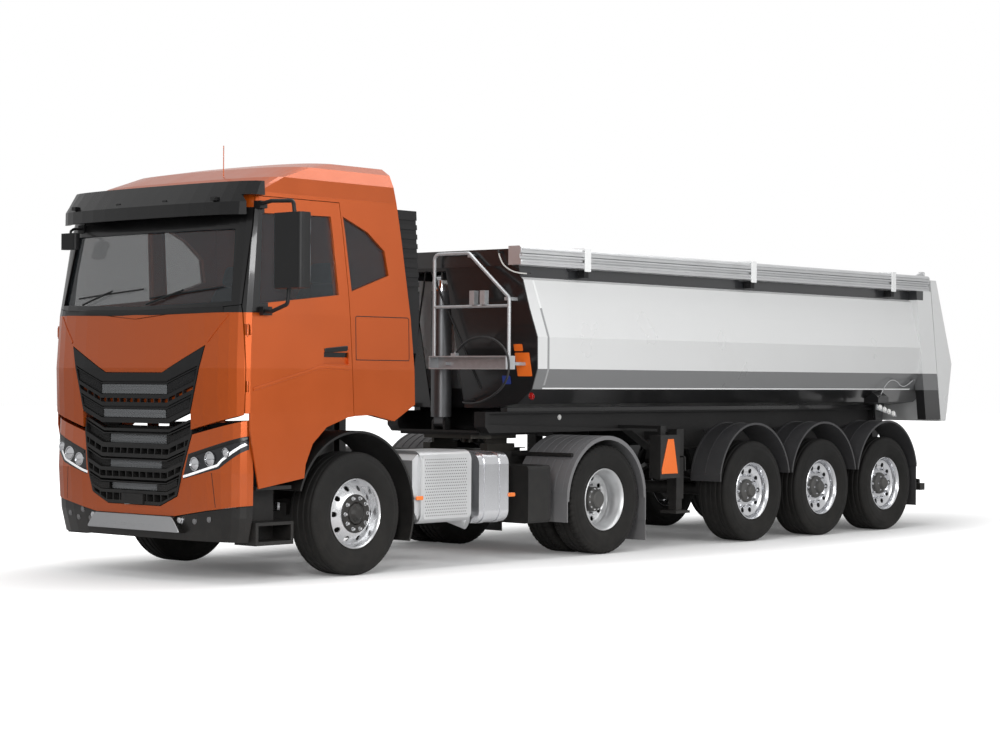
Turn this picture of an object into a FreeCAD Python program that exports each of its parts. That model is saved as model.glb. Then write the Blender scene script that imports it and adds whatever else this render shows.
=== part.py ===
import FreeCAD, Part
import math
import os

# An articulated tipping lorry: a two-axle cab-over tractor and a three-axle half-pipe tipping semi-trailer.
# Millimetres. +X points forward, +Y to the lorry's left, +Z up. The origin is on the ground, below the middle
# of the lorry's box.

V = FreeCAD.Vector

# Driving dimensions: lengths along the lorry
FRONT_OVERHANG = 1450.0
WHEELBASE = 3370.0
KINGPIN_LEAD = 600.0
KINGPIN_TO_BOGIE = 4400.0
TRAILER_AXLE_SPACING = 1310.0
BOGIE_TO_TAIL = 2700.0
LENGTH_BEHIND_AXLE = WHEELBASE - KINGPIN_LEAD + KINGPIN_TO_BOGIE + BOGIE_TO_TAIL
OVERALL_LENGTH = FRONT_OVERHANG + LENGTH_BEHIND_AXLE

# Where the main stations fall along the lorry
X_FRONT = OVERALL_LENGTH / 2 - FRONT_OVERHANG
X_DRIVE = X_FRONT - WHEELBASE
X_PIN = X_DRIVE + KINGPIN_LEAD
X_BOGIE = X_PIN - KINGPIN_TO_BOGIE
TRAILER_AXLES = [X_BOGIE + TRAILER_AXLE_SPACING, X_BOGIE, X_BOGIE - TRAILER_AXLE_SPACING]

# Wheels: 22.5 inch rims, tyres at their loaded radius
TYRE_R = 525.0
AXLE_Z = TYRE_R
RIM_FLANGE_R = 298.5
BEAD_R = 286.0
RIM_INSET = 44.0
FRONT_TYRE_W = 315.0
FRONT_TYRE_Y = 1065.0
DRIVE_TYRE_W = 290.0
DRIVE_OUTER_Y = 1085.0
DRIVE_INNER_Y = 745.0
TRAILER_TYRE_W = 380.0
TRAILER_TYRE_Y = 1045.0
STEER_PIN_Y = 880.0
STEER_PIN_R = 25.0
SPINDLE_R = 45.0

# Clearances
RUN_GAP = 0.1
PANEL_GAP = 6.0
SEAT_GAP = 0.3
LAMP_GAP = 0.6
GRILLE_GAP = 5.0
GRILLE_PROUD = 5.0
DOOR_SWING_GAP = 8.0

# Tractor frame
RAIL_OUT_Y = 430.0
RAIL_FLANGE = 80.0
RAIL_WALL = 9.0
RAIL_TOP_Z = 980.0
RAIL_DEPTH = 265.0
RAIL_FRONT_X = X_FRONT + 1180.0
RAIL_REAR_X = X_DRIVE - 640.0
BEAM_FRONT_X = X_FRONT + 1345.0
BEAM_BOTTOM_Z = 722.0
SPRING_SEAT_Z = 590.0
SPRING_T = 34.0
MUDGUARD_R = 613.0
MUDGUARD_T = 19.0
MUDGUARD_GROOVES = [680, 780, 880, 980, 1080, 1180]
GROOVE_W = 30.0
GROOVE_DEPTH = 4.0
BAY_FRONT_X = X_FRONT - 780.0
BAY_REAR_X = X_DRIVE + MUDGUARD_R + 197.0
BRACKET_SHARES = [0.129, 0.528, 0.921]
MUDGUARD_TUBE_R = 19.0
MUDGUARD_TUBE_Z = 960.0
MUDGUARD_TUBE_DX = math.sqrt((MUDGUARD_R + MUDGUARD_TUBE_R + SEAT_GAP) ** 2 - (MUDGUARD_TUBE_Z - AXLE_Z) ** 2)

# Cab
SKIN_T = 66.0
PANEL_T = 32.0
CAB_FLOOR_Z = 1450.0
CAB_FLOOR_T = 45.0
CAB_BEAM_Y = 430.0
TILT_X = X_FRONT + 1100.0
TILT_Z = 1025.0
TILT_EYE_R = 36.0
TILT_PIN_R = 18.0
CAB_BEAM_BOTTOM_Z = 1370.0
DOOR_HINGE_X = X_FRONT + 1275.0
DOOR_HINGE_Y = 1225.0
HALF_WIDTH = 1250.0
MIRROR_OUT_Y = 1860.0
CENTRE_LINE_Y = (HALF_WIDTH - MIRROR_OUT_Y) / 2
EXTENSION_IN_Y = 1230.0
EXTENSION_OUT_Y = 1244.0
LINER_R = 685.0
LINER_T = 20.0

# Rounded front corners: share of the depth, share of the half width
CAB_CORNER = [(0.42, 0.935), (0.72, 0.80), (0.92, 0.53), (0.985, 0.25)]
BUMPER_CORNER = [(0.42, 0.962), (0.72, 0.84), (0.92, 0.58), (0.99, 0.25)]
VISOR_CORNER = [(0.42, 0.93), (0.72, 0.78), (0.92, 0.51), (0.985, 0.24)]

# Cab outline by height: height, nose x, side start x, rear x (all from the front axle), half width, nose flat
CAB_LEVELS = [
    (1230.0, 1428.0, 1255.0, -680.0, 1240.0),
    (1750.0, FRONT_OVERHANG - GRILLE_PROUD, 1262.0, -655.0, 1248.0),
    (2200.0, 1420.0, 1238.0, -615.0, 1236.0),
    (2900.0, 1275.0, 1150.0, -530.0, 1196.0),
    (3190.0, 1200.0, 1105.0, -500.0, 1168.0),
]
ROOF_LEVELS = [
    (3190.0 + SEAT_GAP, 1198.0, 1103.0, -500.0, 1168.0),
    (3330.0, 980.0, 800.0, -500.0, 1132.0),
    (3440.0, 715.0, 440.0, -520.0, 1062.0),
    (3505.0, 340.0, 60.0, -560.0, 930.0),
]

# Grille rows: lip, top and bottom of the mesh, top and bottom of the open slot below it, and the slot's half width
GRILLE_ROWS = [
    (1648.0, 1619.0, 1528.0, 1496.0, 1464.0),
    (1440.0, 1410.0, 1330.0, 1290.0, 1243.0),
    (1229.0, 1196.0, 1120.0, 1080.0, 1034.0),
    (1011.0, 979.0, 915.0, 885.0, 838.0),
    (827.0, 791.0, 727.0, 700.0, 640.0),
]
GRILLE_FLAT_Y = 420.0
GRILLE_SLOPE = 0.36
GRILLE_RIB = 12.0
GRILLE_RIB_PITCH = 88.0
LIP_H = 9.0
MESH_DEPTH = 14.0

# Trailer
NECK_BOTTOM_Z = 1165.0
TRAILER_RAIL_TOP_Z = 1365.0
TRAILER_RAIL_Y = 500.0
TRAILER_RAIL_W = 140.0
TRAILER_RAIL_DEEP_Z = 960.0
TIP_HINGE_X = X_BOGIE - 2030.0
TIP_HINGE_Z = 1180.0
TIP_PIN_R = 35.0
GUARD_R = 626.0
GUARD_T = 15.0
GUARD_Z = 591.0
FIFTH_WHEEL_Z = 1140.0
KINGPIN_R = 25.0
RAM_X = X_PIN + 420.0
RAM_FOOT_Z = 1255.0
RAM_EYE_Z = 2650.0
RAM_STAGES = 5
RAM_R = 100.0
RAM_STEP = 12.0
RAM_PIN_R = 24.0
BODY_WALL = 40.0
BODY_TOP_Z = 2730.0
RAIL_CAP_Z = 2905.0
WELL_HALF_W = 220.0
WELL_BACK_X = RAM_X - 170.0
WELL_FOOT_X = RAM_X - 580.0
TAIL_X = X_BOGIE - BOGIE_TO_TAIL
GATE_HINGE_X = TAIL_X + 452.0
GATE_HINGE_Z = 2935.0
GATE_PIN_R = 16.0

# Cords on the tipping body: the points of each route, from its exit to its far end
FERRULE_L = 30.0
HOSE_R = 11.0
PLATFORM_X = X_PIN + 700.0
HOSE_ROUTE = [
    V(PLATFORM_X + 10, 460, 1925), V(PLATFORM_X + 20, 550, 2015), V(PLATFORM_X + 50, 770, 2075),
    V(PLATFORM_X + 80, 1010, 2050), V(PLATFORM_X + 100, 1180, 1920), V(PLATFORM_X + 100, 1200, 1740),
    V(PLATFORM_X + 70, 1090, 1590), V(PLATFORM_X + 20, 870, 1490), V(PLATFORM_X - 60, 620, 1440),
    V(PLATFORM_X - 130, 360, 1462), V(PLATFORM_X - 340, 350, 1470),
]
ROPE_R = 7.0
ROPE_ROUTE = [
    V(X_PIN + 672, 950, 2842), V(X_PIN + 672, 975, 2760), V(X_PIN + 660, 1060, 2690), V(X_PIN + 630, 1150, 2655),
    V(X_PIN + 568, 1203, 2652),
]
CABLE_R = 5.0
CABLE_ROUTE = [
    V(TAIL_X + 1390, 1140, 1530), V(TAIL_X + 1362, 1172, 1628), V(TAIL_X + 1265, 1192, 1700),
    V(TAIL_X + 1140, 1197, 1688), V(TAIL_X + 1050, 1197, 1622), V(TAIL_X + 925, 1200, 1628),
    V(TAIL_X + 798, 1197, 1692),
]


# Shape helpers

def box(x0, x1, y0, y1, z0, z1):
    corner = V(min(x0, x1), min(y0, y1), min(z0, z1))
    return Part.makeBox(abs(x1 - x0), abs(y1 - y0), abs(z1 - z0), corner)


def wire(points):
    return Part.makePolygon(points + [points[0]])


def prism_y(outline, y0, y1):
    """Outline of (x, z) points pushed from y0 to y1."""
    face = Part.Face(wire([V(x, y0, z) for x, z in outline]))
    return face.extrude(V(0, y1 - y0, 0))


def prism_x(outline, x0, x1):
    """Outline of (y, z) points pushed from x0 to x1."""
    face = Part.Face(wire([V(x0, y, z) for y, z in outline]))
    return face.extrude(V(x1 - x0, 0, 0))


def prism_z(outline, z0, z1):
    """Outline of (x, y) points pushed from z0 to z1."""
    face = Part.Face(wire([V(x, y, z0) for x, y in outline]))
    return face.extrude(V(0, 0, z1 - z0))


def rod(start, end, radius):
    along = end - start
    return Part.makeCylinder(radius, along.Length, start, along)


def tube(start, end, outer, inner):
    return rod(start, end, outer).cut(rod(start, end, inner))


def disc_y(x, z, radius, y0, y1):
    return rod(V(x, min(y0, y1), z), V(x, max(y0, y1), z), radius)


def revolve_y(profile, x, z):
    """Profile of (radius, y) points turned about the line along Y through (x, z)."""
    face = Part.Face(wire([V(x, y, z + r) for r, y in profile]))
    return face.revolve(V(x, 0, z), V(0, 1, 0), 360)


def fuse(shapes):
    result = shapes[0]
    if len(shapes) > 1:
        result = shapes[0].multiFuse(shapes[1:])
    return result.removeSplitter()


def group(shapes):
    solids = []
    for shape in shapes:
        solids += shape.Solids
    return Part.makeCompound(solids)


def bent_rod(points, bend, radius):
    """A round bar along points, each inner corner turned by a tangent arc."""
    edges = []
    start = points[0]
    for before, corner, after in zip(points, points[1:], points[2:]):
        into = (corner - before).normalize()
        out = (after - corner).normalize()
        half = into.getAngle(out) / 2
        inset = bend * math.tan(half)
        first = corner - into * inset
        last = corner + out * inset
        middle = (first + last) * 0.5
        centre_way = (middle - corner).normalize()
        centre = corner + centre_way * (bend / math.cos(half))
        crown = centre - centre_way * bend
        edges.append(Part.makeLine(start, first))
        edges.append(Part.Arc(first, crown, last).toShape())
        start = last
    edges.append(Part.makeLine(start, points[-1]))
    path = Part.Wire(edges)
    tangent = (points[1] - points[0]).normalize()
    ring = Part.Wire(Part.makeCircle(radius, points[0], tangent))
    return path.makePipeShell([ring], True, True)


def cord_tube(name, route, radius):
    """A tube along straight runs, each corner turned by a tangent arc sized by the shorter run beside it."""
    edges = []
    start = route[0]
    length = 0
    tightest = None
    for before, corner, after in zip(route, route[1:], route[2:]):
        into = corner - before
        out = after - corner
        shorter = min(into.Length, out.Length)
        into = into.normalize()
        out = out.normalize()
        half = into.getAngle(out) / 2
        inset = 0.45 * shorter
        bend = inset / math.tan(half)
        first = corner - into * inset
        last = corner + out * inset
        centre_way = ((first + last) * 0.5 - corner).normalize()
        centre = corner + centre_way * (bend / math.cos(half))
        edges.append(Part.LineSegment(start, first).toShape())
        edges.append(Part.Arc(first, centre - centre_way * bend, last).toShape())
        length += (first - start).Length + 2 * half * bend
        tightest = bend if tightest is None else min(tightest, bend)
        start = last
    edges.append(Part.LineSegment(start, route[-1]).toShape())
    length += (route[-1] - start).Length
    ring = Part.Wire(Part.makeCircle(radius, route[0], route[1] - route[0]))
    tube_solid = Part.Wire(edges).makePipeShell([ring], True, True)
    print("%s: length %.0f, tightest radius %.0f, volume over section times length %.4f" % (
        name, length, tightest, tube_solid.Volume / (math.pi * radius ** 2 * length)))
    return tube_solid


def ferrule(route, at_start, radius):
    """The short sleeve that a cord's end sits in, in line with the cord."""
    if at_start:
        end, way = route[0], route[0] - route[1]
    else:
        end, way = route[-1], route[-1] - route[-2]
    return rod(end, end + way.normalize() * FERRULE_L, radius)


NODES = {}


def node(name, shapes):
    if not isinstance(shapes, list):
        shapes = [shapes]
    NODES[name] = group(shapes)


# Wheels

def tyre(x, y, width):
    """A tyre on its rim: bead, bulging side wall, shoulder and flat tread."""
    half = width / 2
    side = [
        (BEAD_R + SEAT_GAP, half - RIM_INSET - 10.6),
        (RIM_FLANGE_R + 1, half - RIM_INSET - 8.6),
        (RIM_FLANGE_R + 6, half - RIM_INSET + 6),
        (RIM_FLANGE_R + 70, half),
        (TYRE_R - 70, half),
        (TYRE_R - 6, half - 26),
        (TYRE_R, half - 44),
    ]
    profile = [(r, y + s) for r, s in side] + [(r, y - s) for r, s in reversed(side)]
    return revolve_y(profile, x, AXLE_Z)


def rim(x, y, width, disc_y_at, hub_inner_y, hub_outer_y, hub_r, bore_r, hole_ring_r, hole_r, holes):
    """A steel or alloy rim: barrel with flanges, a dished disc with a ring of round holes, and its hub."""
    sign = 1 if y > 0 else -1
    half = width / 2 - RIM_INSET
    barrel = revolve_y(
        [(RIM_FLANGE_R, y + half + 3), (RIM_FLANGE_R, y + half - 8), (BEAD_R, y + half - 10),
         (BEAD_R, y - half + 10), (RIM_FLANGE_R, y - half + 8), (RIM_FLANGE_R, y - half - 3),
         (BEAD_R - 12, y - half - 3), (BEAD_R - 12, y + half + 3)], x, AXLE_Z)
    disc_out = disc_y_at + sign * 6
    disc_in = disc_y_at - sign * 6
    disc = revolve_y(
        [(BEAD_R - 11, disc_in - sign * 34), (BEAD_R - 11, disc_out - sign * 20), (hole_ring_r + hole_r + 12, disc_out),
         (hub_r - 8, disc_out), (hub_r - 8, disc_in), (hole_ring_r + hole_r + 6, disc_in)], x, AXLE_Z)
    hub = revolve_y([(hub_r, hub_inner_y), (hub_r, hub_outer_y), (bore_r, hub_outer_y), (bore_r, hub_inner_y)],
                    x, AXLE_Z)
    for index in range(holes):
        angle = math.radians(360.0 * (index + 0.5) / holes)
        hx = x + hole_ring_r * math.cos(angle)
        hz = AXLE_Z + hole_ring_r * math.sin(angle)
        disc = disc.cut(disc_y(hx, hz, hole_r, disc_y_at - 60, disc_y_at + 60))
    return fuse([barrel, disc, hub])


def front_wheels():
    for side, sign in (("left", 1), ("right", -1)):
        y = sign * FRONT_TYRE_Y
        node("front_tyre_" + side, tyre(X_FRONT, y, FRONT_TYRE_W))
        wheel = rim(X_FRONT, y, FRONT_TYRE_W, sign * 1128, sign * 965, sign * 1190, 105, SPINDLE_R + RUN_GAP,
                    212, 27, 10)
        cap = revolve_y([(78, sign * 1190), (78, sign * 1222), (60, sign * 1236), (0, sign * 1236),
                         (0, sign * 1180), (78, sign * 1180)], X_FRONT, AXLE_Z)
        node("front_rim_" + side, fuse([wheel, cap]))


def drive_wheels():
    for side, sign in (("left", 1), ("right", -1)):
        outer_y = sign * DRIVE_OUTER_Y
        inner_y = sign * DRIVE_INNER_Y
        tyres = [tyre(X_DRIVE, outer_y, DRIVE_TYRE_W), tyre(X_DRIVE, inner_y, DRIVE_TYRE_W)]
        outer = rim(X_DRIVE, outer_y, DRIVE_TYRE_W, sign * 1000, sign * 800, sign * 1130, 118, SPINDLE_R + RUN_GAP,
                    212, 27, 10)
        inner = rim(X_DRIVE, inner_y, DRIVE_TYRE_W, sign * 830, sign * 720, sign * 840, 118, SPINDLE_R + RUN_GAP,
                    212, 27, 10)
        cap = disc_y(X_DRIVE, AXLE_Z, 118, sign * 1130, sign * 1142)
        node("drive_wheels_" + side, tyres + [fuse([outer, inner, cap])])


def trailer_wheels():
    for index, x in enumerate(TRAILER_AXLES):
        for side, sign in (("left", 1), ("right", -1)):
            y = sign * TRAILER_TYRE_Y
            wheel = rim(x, y, TRAILER_TYRE_W, sign * 1120, sign * 900, sign * 1196, 112, SPINDLE_R + RUN_GAP,
                        208, 27, 10)
            cap = disc_y(x, AXLE_Z, 112, sign * 1196, sign * 1210)
            name = "trailer_wheel_%d_%s" % (index + 1, side)
            node(name, [tyre(x, y, TRAILER_TYRE_W), fuse([wheel, cap])])


# Tractor chassis

def channel(x0, x1, y_out, sign, z0, z1, flange, wall):
    """A C rail along X, open towards the middle of the lorry."""
    y_in = y_out - flange
    outline = [(y_out, z0), (y_out, z1), (y_in, z1), (y_in, z1 - wall), (y_out - wall, z1 - wall),
               (y_out - wall, z0 + wall), (y_in, z0 + wall), (y_in, z0)]
    return prism_x([(sign * y, z) for y, z in outline], x0, x1)


def tractor_frame():
    z0 = RAIL_TOP_Z - RAIL_DEPTH
    pieces = [channel(RAIL_REAR_X, RAIL_FRONT_X, RAIL_OUT_Y, sign, z0, RAIL_TOP_Z, RAIL_FLANGE, RAIL_WALL)
              for sign in (1, -1)]
    inner = RAIL_OUT_Y - RAIL_WALL
    cross_xs = [X_FRONT + 1020, X_FRONT - 1700, X_DRIVE + 700, X_DRIVE - 600]
    for x in cross_xs:
        pieces.append(box(x - 60, x + 60, -inner, inner, z0 + 40, z0 + 52))
        pieces.append(box(x - 6, x + 6, -inner, inner, z0 + 45, RAIL_TOP_Z - 40))
    for sign in (1, -1):
        y_mid = sign * CAB_BEAM_Y
        ear = prism_y([(TILT_X - 90, RAIL_TOP_Z - 20), (TILT_X + 75, RAIL_TOP_Z - 20), (TILT_X + 34, TILT_Z + 34),
                       (TILT_X - 34, TILT_Z + 34)], y_mid + 32, y_mid + 50)
        other = ear.translated(V(0, -82, 0))
        pin = disc_y(TILT_X, TILT_Z, TILT_PIN_R, y_mid - 50, y_mid + 50)
        base = box(TILT_X - 90, TILT_X + 75, y_mid - 50, y_mid + 50, RAIL_TOP_Z - 6, RAIL_TOP_Z + 4)
        post = box(X_FRONT - 600, X_FRONT - 520, y_mid - 34, y_mid + 34, RAIL_TOP_Z - 6,
                   CAB_BEAM_BOTTOM_Z - SEAT_GAP)
        pieces += [ear, other, pin, base, post]
    pieces.append(box(BEAM_FRONT_X - 55, BEAM_FRONT_X, -700, 700, BEAM_BOTTOM_Z, 790))
    for sign in (1, -1):
        pieces.append(box(X_FRONT + 1080, BEAM_FRONT_X, sign * 330, sign * 430, BEAM_BOTTOM_Z, 800))
        for x in [along_bay(share) for share in BRACKET_SHARES]:
            pieces.append(box(x - 30, x + 30, sign * (RAIL_OUT_Y - 4), sign * 560, z0 + 20, RAIL_TOP_Z - 60))
        for x in (X_DRIVE + MUDGUARD_TUBE_DX, X_DRIVE - MUDGUARD_TUBE_DX):
            pieces.append(rod(V(x, sign * (RAIL_OUT_Y - 6), MUDGUARD_TUBE_Z), V(x, sign * 1180, MUDGUARD_TUBE_Z),
                              MUDGUARD_TUBE_R))
    node("tractor_frame", fuse(pieces))
    flange_top = z0 + RAIL_WALL + SEAT_GAP
    lugs = [box(x - 50, x + 50, sign * 330, sign * 410, flange_top, flange_top + 60)
            for x in (X_FRONT - 450, X_FRONT + 450) for sign in (1, -1)]
    node("engine_block", fuse([box(X_FRONT - 700, X_FRONT + 760, -340, 340, 620, 1290),
                               box(X_FRONT - 1500, X_FRONT - 690, -210, 210, 640, 1040)] + lugs))


def leaf_spring(x, y_mid, z_seat, half_len, rise, width, thick):
    """A shallow leaf bow from eye to eye, low in the middle."""
    def bow(offset):
        return [V(x - half_len, y_mid - width / 2, z_seat + rise + offset),
                V(x, y_mid - width / 2, z_seat + offset),
                V(x + half_len, y_mid - width / 2, z_seat + rise + offset)]
    low = bow(0)
    high = bow(thick)
    edges = [Part.Arc(*low).toShape(), Part.makeLine(low[2], high[2]), Part.Arc(*reversed(high)).toShape(),
             Part.makeLine(high[0], low[0])]
    return Part.Face(Part.Wire(edges)).extrude(V(0, width, 0))


def axles():
    z = AXLE_Z
    drop = 60
    spring_rise = RAIL_TOP_Z - RAIL_DEPTH - SEAT_GAP - SPRING_SEAT_Z - SPRING_T
    beam = prism_x([(-790, z - 45), (-560, z - 45 - drop), (560, z - 45 - drop), (790, z - 45), (790, z + 45),
                    (560, z + 45 - drop), (-560, z + 45 - drop), (-790, z + 45)], X_FRONT - 50, X_FRONT + 50)
    pieces = [beam]
    for sign in (1, -1):
        eye = rod(V(X_FRONT, sign * STEER_PIN_Y, z - 60), V(X_FRONT, sign * STEER_PIN_Y, z + 60), 52)
        arm = box(X_FRONT - 50, X_FRONT + 50, sign * 780, sign * STEER_PIN_Y, z - 44, z + 44)
        pieces.append(fuse([eye, arm]))
        seat = box(X_FRONT - 90, X_FRONT + 90, sign * 350, sign * 430, z - 40, SPRING_SEAT_Z + 2)
        pieces += [seat, leaf_spring(X_FRONT, sign * 390, SPRING_SEAT_Z, 820, spring_rise, 78, SPRING_T)]
    front = fuse(pieces)
    for sign in (1, -1):
        front = front.cut(rod(V(X_FRONT, sign * STEER_PIN_Y, z - 80), V(X_FRONT, sign * STEER_PIN_Y, z + 80),
                              STEER_PIN_R + RUN_GAP))
    node("front_axle", front)

    casing = revolve_y([(0, -700), (62, -700), (62, -300), (150, -190), (205, -110), (205, 110), (150, 190),
                        (62, 300), (62, 700), (0, 700)], X_DRIVE, z)
    nose = rod(V(X_DRIVE, 0, z + 20), V(X_DRIVE + 380, 0, z + 60), 80)
    stubs = [disc_y(X_DRIVE, z, SPINDLE_R, sign * 690, sign * 1125) for sign in (1, -1)]
    seats = []
    for sign in (1, -1):
        seats.append(box(X_DRIVE - 330, X_DRIVE + 330, sign * 350, sign * 430, z + 55, z + 85))
        seats.append(box(X_DRIVE - 60, X_DRIVE + 60, sign * 350, sign * 430, z - 10, z + 70))
        for dx in (-300, 300):
            bottom = V(X_DRIVE + dx, sign * 400, z + 80)
            seats.append(rod(bottom, bottom + V(0, 0, RAIL_TOP_Z - RAIL_DEPTH - z - 80), 105 / 2))
    node("drive_axle", fuse([casing, nose] + stubs + seats))


def knuckle(sign):
    z = AXLE_Z
    y = sign * STEER_PIN_Y
    pin = rod(V(X_FRONT, y, z - 96), V(X_FRONT, y, z + 96), STEER_PIN_R)
    ears = [rod(V(X_FRONT, y, z + 62), V(X_FRONT, y, z + 100), 50),
            rod(V(X_FRONT, y, z - 100), V(X_FRONT, y, z - 62), 50)]
    web = prism_x([(y, z + 100), (y + sign * 76, z + 100), (y + sign * 84, z - 100), (y, z - 100), (y, z - 62),
                   (y + sign * 58, z - 62), (y + sign * 58, z + 62), (y, z + 62)], X_FRONT - 45, X_FRONT + 45)
    spindle = disc_y(X_FRONT, z, SPINDLE_R, y + sign * 70, sign * 1160)
    arm = box(X_FRONT - 190, X_FRONT - 20, y + sign * 10, y + sign * 44, z - 98, z - 68)
    return fuse([pin] + ears + [web, spindle, arm])


def steering():
    node("knuckle_left", knuckle(1))
    node("knuckle_right", knuckle(-1))


# Front end on the frame

def front_curve(nose_x, side_x, half_w, corner):
    """Points of the rounded front, seen from above, from the left side to the right side."""
    depth = nose_x - side_x
    left = [(side_x, half_w)] + [(side_x + depth * along, half_w * across) for along, across in corner]
    return left + [(nose_x, 0)] + [(x, -y) for x, y in reversed(left)]


def smoothed(points):
    """The same line with a point added on each stretch, bowed by the way its neighbours turn."""
    result = [points[0]]
    for index in range(1, len(points)):
        a, b = points[index - 1], points[index]
        before = points[index - 2] if index > 1 else (a[0] - (b[0] - a[0]), a[1])
        after = points[index + 1] if index + 1 < len(points) else (b[0] - (a[0] - b[0]), b[1])
        middle = tuple((9 * (p + q) - o - r) / 16 for p, q, o, r in zip(a, b, before, after))
        result += [middle, b]
    return result


def outline_wire(level, inset, corner):
    z, nose, side, rear, half = level
    points = smoothed(front_curve(X_FRONT + nose - inset, X_FRONT + side - inset, half - inset, corner))
    points = [(X_FRONT + rear + inset, half - inset)] + points + [(X_FRONT + rear + inset, inset - half)]
    return wire([V(x, y, z) for x, y in points])


def stacked(levels, inset=0.0, corner=CAB_CORNER):
    return Part.makeLoft([outline_wire(level, inset, corner) for level in levels], True, True)


BUMPER_LEVELS = [
    (530.0, 1425.0, 1195.0, 1190.0, 1205.0),
    (900.0, 1440.0, 1205.0, 1200.0, 1220.0),
    (1345.0, 1395.0, 1215.0, 1208.0, 1215.0),
]


def bumper_shell(levels, wall):
    outer = stacked(levels, 0, BUMPER_CORNER)
    low = (levels[0][0] - 1,) + tuple(levels[0][1:])
    high = (levels[-1][0] + 1,) + tuple(levels[-1][1:])
    inner_levels = [low] + list(levels[1:-1]) + [high]
    shifted = []
    for z, nose, side, rear, half in inner_levels:
        shifted.append((z, nose - wall, side - wall, rear - 400, half - wall))
    return outer.cut(stacked(shifted, 0, BUMPER_CORNER))


def chevron(top, bottom, x0, x1):
    """A band across the lorry between two heights, level in the middle and rising to both sides."""
    reach = 900.0
    rise = GRILLE_SLOPE * (reach - GRILLE_FLAT_Y)
    outline = [(-reach, top + rise), (-GRILLE_FLAT_Y, top), (GRILLE_FLAT_Y, top), (reach, top + rise),
               (reach, bottom + rise), (GRILLE_FLAT_Y, bottom), (-GRILLE_FLAT_Y, bottom), (-reach, bottom + rise)]
    return prism_x(outline, x0, x1)


def grille_work(grille, rows, outline, skin):
    """Cuts a grille's rows: a lip stands proud of each sunk mesh field, and an open slot with upright ribs below."""
    x0 = X_FRONT + 1000
    x1 = X_FRONT + 1600
    margin = prism_x(widened(outline, -18), x0, x1)
    ribs = []
    count = int(700 / GRILLE_RIB_PITCH)
    for index in range(-count, count + 1):
        y = index * GRILLE_RIB_PITCH
        ribs.append(box(x0, x1, y - GRILLE_RIB / 2, y + GRILLE_RIB / 2, 500, 1900))
    bars = Part.makeCompound(ribs)
    for lip, mesh_top, mesh_bottom, slot_top, slot_bottom in rows:
        grille = grille.cut(chevron(mesh_top, mesh_bottom, x0, x1).common(margin).common(skin))
        grille = grille.cut(chevron(slot_top, slot_bottom, x0, x1).common(margin).cut(bars))
        grille = grille.cut(chevron(lip - LIP_H, mesh_top + LIP_H, x0, x1).common(margin).common(skin))
    return grille


GRILLE_LOW = [(-335, 612), (335, 612), (545, 700), (590, 830), (690, 1215), (690, 1327), (-690, 1327),
              (-690, 1215), (-590, 830), (-545, 700)]
LAMP = [(622, 842), (664, 1046), (1000, 1140), (1260, 1215), (1260, 1130), (1000, 935)]
LAMP_REAR_X = X_FRONT + 1238.0


def widened(outline, by):
    """The outline with each side moved outwards by the given distance."""
    area = sum(a[0] * b[1] - b[0] * a[1] for a, b in zip(outline, outline[1:] + outline[:1]))
    turn = 1 if area > 0 else -1
    grown = []
    count = len(outline)
    for index in range(count):
        before, here, after = outline[index - 1], outline[index], outline[(index + 1) % count]
        first = unit(here[0] - before[0], here[1] - before[1])
        second = unit(after[0] - here[0], after[1] - here[1])
        normal_1 = (first[1] * turn, -first[0] * turn)
        normal_2 = (second[1] * turn, -second[0] * turn)
        share = 1 + normal_1[0] * normal_2[0] + normal_1[1] * normal_2[1]
        grown.append((here[0] + by * (normal_1[0] + normal_2[0]) / share,
                      here[1] + by * (normal_1[1] + normal_2[1]) / share))
    return grown


def unit(x, z):
    length = math.hypot(x, z)
    return x / length, z / length


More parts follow.
